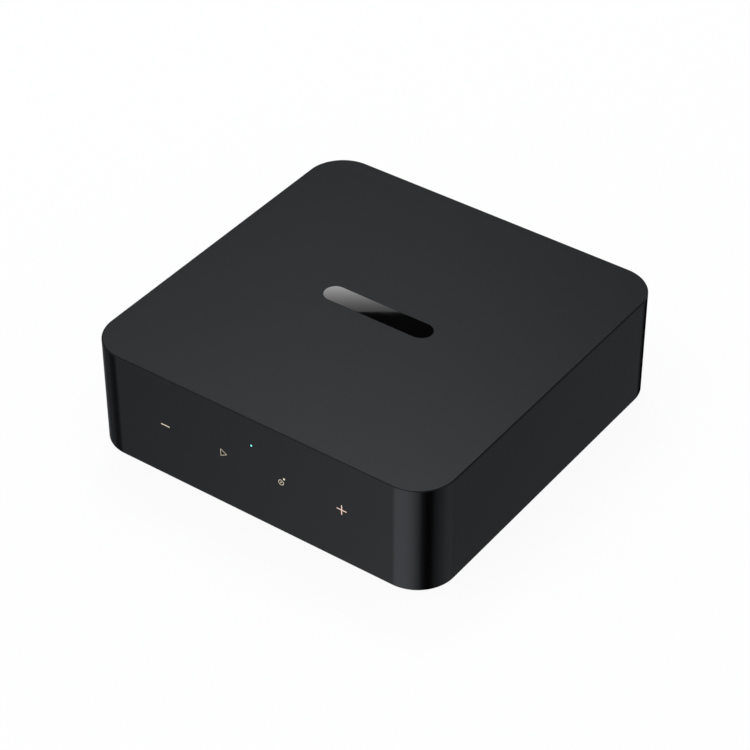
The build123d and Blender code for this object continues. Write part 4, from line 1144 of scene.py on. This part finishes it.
# The front signs, from the middle of the wall and from the row's level: the minus sign's place and length,
# the play sign's corners and their radius, the plus sign's place, width and height, and of the timer sign the
# ring, pivot and spot as places with radii, the hand's middle, length and turn, and what shares of the fine
# stroke the lines of ring and hand have
MINUS_X = -36.3 * MM
MINUS_LONG = 3.7 * MM
PLAY_CORNERS = np.array([(-12.95, 1.42), (-12.95, -1.42), (-10.45, 0.0)]) * MM
PLAY_ROUND = 0.08 * MM
PLUS_X = 36.1 * MM
PLUS_WIDE = 3.9 * MM
PLUS_TALL = 4.0 * MM
TIMER_RING = np.array([11.85, -0.62, 1.0]) * MM
TIMER_PIVOT = np.array([11.8, -0.62, 0.25]) * MM
TIMER_SPOT = np.array([13.1, 1.3, 0.38]) * MM
TIMER_HAND = np.array([12.15, -0.3, 0.8]) * MM
HAND_TURN = math.radians(45)
RING_SHARE = 1.3
HAND_SHARE = 0.7


class STREAMER_OT_signs(bpy.types.Operator):
    """Make the minus, play, timer and plus signs of the touch keys"""

    bl_idname = "streamer.signs"
    bl_label = "Signs"

    def execute(self, context):
        signs = context.scene.streamer_signs
        proud, stroke, fine, level = signs.proud, signs.stroke, signs.fine_stroke, np.array([0, signs.level])
        warm, pale, bright = (
            sign_finish(tone + "_lacquer", tuple(getattr(signs, tone + "_colour")), signs.glow)
            for tone in ("warm", "pale", "bright")
        )
        minus = sign_plate(bar(MINUS_X, 0, MINUS_LONG, stroke) + level, proud)
        play = sign_band(rounded_corners(PLAY_CORNERS, PLAY_ROUND, 4) + level, fine, proud)
        ring_line = sign_band(disc(*TIMER_RING, steps=48) + level, fine * RING_SHARE, proud)
        pivot = sign_plate(disc(*TIMER_PIVOT) + level, proud)
        hand = sign_plate(bar(*TIMER_HAND, fine * HAND_SHARE, HAND_TURN) + level, proud)
        spot = sign_plate(disc(*TIMER_SPOT) + level, proud)
        plus = sign_plate(plus_outline(PLUS_X, PLUS_WIDE, PLUS_TALL, stroke) + level, proud)
        drawn = {
            "sign_minus": (minus, pale),
            "sign_play": (play, pale),
            "sign_timer": (joined([ring_line, pivot, hand]), pale),
            "sign_timer_spot": (spot, bright),
            "sign_plus": (plus, warm),
        }
        for name, (sign, finish) in drawn.items():
            place(mesh_object(name, *sign), finish, "led_resin")
        return {"FINISHED"}


# The status light's pin: its radius, its length in front of the flange and the radius of its front edge
PIN_RADIUS = 0.35 * MM
PIN_LONG = 2.2 * MM
PIN_ROUND = 0.1 * MM


class STREAMER_OT_status_light(bpy.types.Operator):
    """Make the status light's clear pin in the front wall"""

    bl_idname = "streamer.status_light"
    bl_label = "Status Light"

    def execute(self, context):
        low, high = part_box("light_pipe")
        front, seat = low[1], low[1] + PIN_LONG
        turn = np.linspace(0, math.pi / 2, 6)
        edge = zip(PIN_RADIUS - PIN_ROUND * (1 - np.sin(turn)), front + PIN_ROUND * (1 - np.cos(turn)))
        rows = [(0.0, front), *edge, (PIN_RADIUS, seat), (high[0], seat), (high[0], high[1]), (0.0, high[1])]
        middle = [0, 0, (low[2] + high[2]) / 2]
        stand_for(mesh_object("status_pin", *solid(turned_rows(rows, 32) + middle)), "light_pipe")
        dress("status_led")
        return {"FINISHED"}


class STREAMER_OT_underside(bpy.types.Operator):
    """Make the rubber foot pad and finish the base"""

    bl_idname = "streamer.underside"
    bl_label = "Underside"

    def execute(self, context):
        body = context.scene.streamer_body
        middle, half = node_middle("foot_pad")
        low, high = middle[2] - half[2], middle[2] + half[2]
        rows = rounded_block(
            half[0], half[1], body.pad_corner, low, high, body.pad_edge, steps=32, edge_steps=5
        )
        stand_for(even_shading(mesh_object("foot_mat", *solid(rows))), "foot_pad")
        dress("base_plate", "base_screws")
        return {"FINISHED"}


class STREAMER_OT_rear_panel(bpy.types.Operator):
    """Finish the rear panel"""

    bl_idname = "streamer.rear_panel"
    bl_label = "Rear Panel"

    def execute(self, context):
        dress("rear_panel")
        return {"FINISHED"}


# Each of the next three gives outlines of a rear sign in millimetres, for lines of the given width


def arrow_outlines(line, outward):
    """An arrow and a bar: the arrow's shaft and three-cornered head point at the bar where a signal goes in,
    and away from it where one comes out."""
    start, tip, bar_x = (-0.65, 1.15, -1.1) if outward else (-1.2, 0.6, 1.1)
    head_long, head_half, bar_half, half = 0.75, 0.6, 0.95, line / 2
    neck = tip - head_long
    arrow = np.array([(start, -half), (neck, -half), (neck, -head_half), (tip, 0.0), (neck, head_half),
                      (neck, half), (start, half)])
    return [arrow, span_outline(bar_x - half, bar_x + half, -bar_half, bar_half)]


def network_outlines(line):
    """One box above joined by square lines to two boxes below, with edges that touch and don't overlap."""
    half, box, out, rise = line / 2, 0.38, 0.95, 0.82
    parts = [span_outline(-box, box, rise - box, rise + box), span_outline(-half, half, half, rise - box),
             span_outline(-out - half, out + half, -half, half)]
    for side in (-out, out):
        parts.append(span_outline(side - half, side + half, box - rise, -half))
        parts.append(span_outline(side - box, side + box, -rise - box, box - rise))
    return parts


def supply_outlines(line):
    """The common sign for direct current: a line over three dashes."""
    line_half, dash_half, apart, gap = 1.1, 0.27, 0.83, 0.25
    dashes = [span_outline(x - dash_half, x + dash_half, -gap - line, -gap) for x in (-apart, 0.0, apart)]
    return [span_outline(-line_half, line_half, gap, gap + line), *dashes]


class STREAMER_OT_rear_signs(bpy.types.Operator):
    """Make the printed signs above the sockets: arrows in and out, a network and a direct supply"""

    bl_idname = "streamer.rear_signs"
    bl_label = "Rear Signs"

    def execute(self, context):
        signs = context.scene.streamer_signs
        line = signs.print_line / MM
        into, out = arrow_outlines(line, False), arrow_outlines(line, True)
        drawings = {
            "line_in_block": (into, signs.upper_row),
            "line_out_block": (out, signs.upper_row),
            "optical_in_housing": (into, signs.middle_row),
            "optical_out_housing": (out, signs.middle_row),
            "coax_block": (out, signs.middle_row),
            "trigger_body": (out, signs.lower_row),
            "ethernet_shield": (network_outlines(line), signs.middle_row),
            "power_shell": (supply_outlines(line), signs.lower_row),
        }
        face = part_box("rear_panel")[1][1]
        plates = []
        for node, (outlines, level) in drawings.items():
            middle = [node_middle(node)[0][0], level]
            for outline in outlines:
                placed = outline * [-MM, MM] + middle
                plates.append(solid(lying(upright(placed, face - SIGN_ROOT, face + signs.proud))))
        piece = mesh_object("rear_signs", *joined(plates))
        place(piece, finish_of("insulator_white"), "insulator_white")
        return {"FINISHED"}


PHONO_SOCKETS = ("line_in_left", "line_in_right", "line_out_left", "line_out_right", "coax")


def barrel_profile(low, high, wide):
    """Radius and y round a plated sleeve: out along the collar, over the shoulder, along the barrel, over a
    rounded lip, and back down the bore."""
    step, sheet, long, bevel, lip = 0.3 * MM, 0.6 * MM, 8.2 * MM, 0.15 * MM, 0.3 * MM
    barrel, bore, shoulder = wide - step, wide - step - sheet, high - long
    turn = np.linspace(0, math.pi, 13)
    edge = zip((barrel + bore) / 2 + sheet / 2 * np.cos(turn), high - lip + lip * np.sin(turn))
    return [(bore, low), (wide, low), (wide, shoulder - bevel), (wide - bevel, shoulder), (barrel, shoulder),
            *edge]


def insulator_profile(low, high, wide):
    """Radius and y round an insulator: its outer wall, a face that dips a little towards the pin hole, and
    the stepped hole."""
    hole, core, step, edge = 1.65 * MM, 2.3 * MM, high - 7.2 * MM, 0.12 * MM
    rim, throat, dip = hole + 0.9 * MM, hole + 0.35 * MM, 0.3 * MM
    return [(core, low), (wide, low), (wide, high - edge), (wide - edge, high), (rim, high),
            (throat, high - edge), (hole, high - dip), (hole, step), (core, step)]


def contact_profile(low, high, wide):
    """Radius and y of a centre contact: a tube closed at its inner end, with a rounded mouth."""
    sheet, edge, floor = 0.4 * MM, 0.1 * MM, low + 0.8 * MM
    bore = wide - sheet
    return [(0.0, low), (wide, low), (wide, high - edge), (wide - edge, high), (bore + edge, high),
            (bore, high - edge), (bore, floor), (0.0, floor)]


def bush_profile(low, high, wide):
    """Radius and y round a metal bush with a rolled mouth."""
    sheet, roll = 0.42 * MM, 0.12 * MM
    bore = wide - sheet
    return [(bore, low), (wide, low), (wide, high - roll), (wide - roll, high), (bore + roll, high),
            (bore, high - roll)]


def turned_node(node, profile, name, closed=True):
    """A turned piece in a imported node's place, with its profile from the node's own y range and radius."""
    middle, half = node_middle(node)
    rows = turned_rows(profile(middle[1] - half[1], middle[1] + half[1], half[0]), 72)
    rows = rows + [middle[0], 0, middle[2]]
    stand_for(even_shading(mesh_object(name, *solid(rows, closed_rows=closed))), node)


class STREAMER_OT_phono_sockets(bpy.types.Operator):
    """Make the plated sleeves, coloured insulators and centre contacts of the phono sockets"""

    bl_idname = "streamer.phono_sockets"
    bl_label = "Phono Sockets"

    def execute(self, context):
        for name in PHONO_SOCKETS:
            turned_node(name + "_barrel", barrel_profile, name + "_sleeve")
            turned_node(name + "_insulator", insulator_profile, name + "_ring")
            turned_node(name + "_contact", contact_profile, name + "_core", closed=False)
        dress("line_in_block", "line_out_block", "coax_block")
        return {"FINISHED"}


class STREAMER_OT_optical_sockets(bpy.types.Operator):
    """Finish the shuttered optical sockets"""

    bl_idname = "streamer.optical_sockets"
    bl_label = "Optical Sockets"

    def execute(self, context):
        dress("optical_in_housing", "optical_in_shutter", "optical_in_receiver",
              "optical_out_housing", "optical_out_shutter")
        emitter = "optical_out_emitter"
        give_finish(NODES[emitter], element_finish("emitter_resin", emitter))
        return {"FINISHED"}


class STREAMER_OT_network_socket(bpy.types.Operator):
    """Finish the network socket's shield, body, wires and windows"""

    bl_idname = "streamer.network_socket"
    bl_label = "Network Socket"

    def execute(self, context):
        dress("ethernet_shield", "ethernet_insert", "ethernet_contacts", "ethernet_windows")
        return {"FINISHED"}


class STREAMER_OT_power_socket(bpy.types.Operator):
    """Make the drawn shell of the power socket with its tongue"""

    bl_idname = "streamer.power_socket"
    bl_label = "Power Socket"

    def execute(self, context):
        middle, half = node_middle("power_shell")
        sheet = 0.3 * MM
        back, front = middle[1] - half[1], middle[1] + half[1]
        turn = np.linspace(0, math.pi, 9)
        inset = np.concatenate([[0.0], sheet / 2 * (1 - np.cos(turn)), [sheet]])
        level = np.concatenate([[back], front - sheet / 2 * (1 - np.sin(turn)), [back + sheet]])
        rows = np.array([
            at_height(rounded_outline(half[0] - i, half[2] - i, half[2] - i, 16), y)
            for i, y in zip(inset, level)
        ])
        shell = mesh_object("power_sleeve", *solid(lying(rows) + [middle[0], 0, middle[2]]))
        stand_for(shell, "power_shell")
        dress("power_tongue")
        return {"FINISHED"}


class STREAMER_OT_trigger_socket(bpy.types.Operator):
    """Make the trigger socket's bush and finish its body"""

    bl_idname = "streamer.trigger_socket"
    bl_label = "Trigger Socket"

    def execute(self, context):
        turned_node("trigger_bush", bush_profile, "trigger_ring")
        dress("trigger_body")
        return {"FINISHED"}


INSIDE = (
    "main_board", "board_screws", "compute_module", "module_shield", "thermal_pad", "heat_spreader",
    "spreader_rivets", "chips", "capacitors", "inductors", "touch_board", "touch_pads", "touch_ribbon",
    "ribbon_connectors", "antenna_left", "antenna_right", "antenna_lead_left", "antenna_lead_right",
    "antenna_plugs",
)


class STREAMER_OT_inside(bpy.types.Operator):
    """Finish the boards, the module, the heat spreader, the antennas and their leads"""

    bl_idname = "streamer.inside"
    bl_label = "Inside"

    def execute(self, context):
        dress(*INSIDE)
        return {"FINISHED"}


OPERATORS = (
    STREAMER_OT_stage, STREAMER_OT_housing, STREAMER_OT_inlay, STREAMER_OT_signs, STREAMER_OT_status_light,
    STREAMER_OT_underside, STREAMER_OT_rear_panel, STREAMER_OT_rear_signs, STREAMER_OT_phono_sockets,
    STREAMER_OT_optical_sockets, STREAMER_OT_network_socket, STREAMER_OT_power_socket,
    STREAMER_OT_trigger_socket, STREAMER_OT_inside,
)


class STREAMER_PT_panel(bpy.types.Panel):
    """Lists the pieces and their settings in the sidebar"""

    bl_idname = "STREAMER_PT_panel"
    bl_label = "Streamer"
    bl_space_type = "VIEW_3D"
    bl_region_type = "UI"
    bl_category = "Streamer"

    def draw(self, context):
        for name, settings in SETTINGS.items():
            box = self.layout.box()
            for key in settings.__annotations__:
                box.prop(getattr(context.scene, name), key)
        for operator in OPERATORS:
            self.layout.operator(operator.bl_idname)


CLASSES = (*SETTINGS.values(), *OPERATORS, STREAMER_PT_panel)


def register():
    for entry in CLASSES:
        bpy.utils.register_class(entry)
    for name, settings in SETTINGS.items():
        setattr(bpy.types.Scene, name, bpy.props.PointerProperty(type=settings))


def unregister():
    for name in SETTINGS:
        delattr(bpy.types.Scene, name)
    for entry in reversed(CLASSES):
        bpy.utils.unregister_class(entry)


def main():
    """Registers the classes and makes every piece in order."""
    register()
    for operator in OPERATORS:
        group, name = operator.bl_idname.split(".")
        getattr(getattr(bpy.ops, group), name)()


if __name__ == "__main__":
    main()
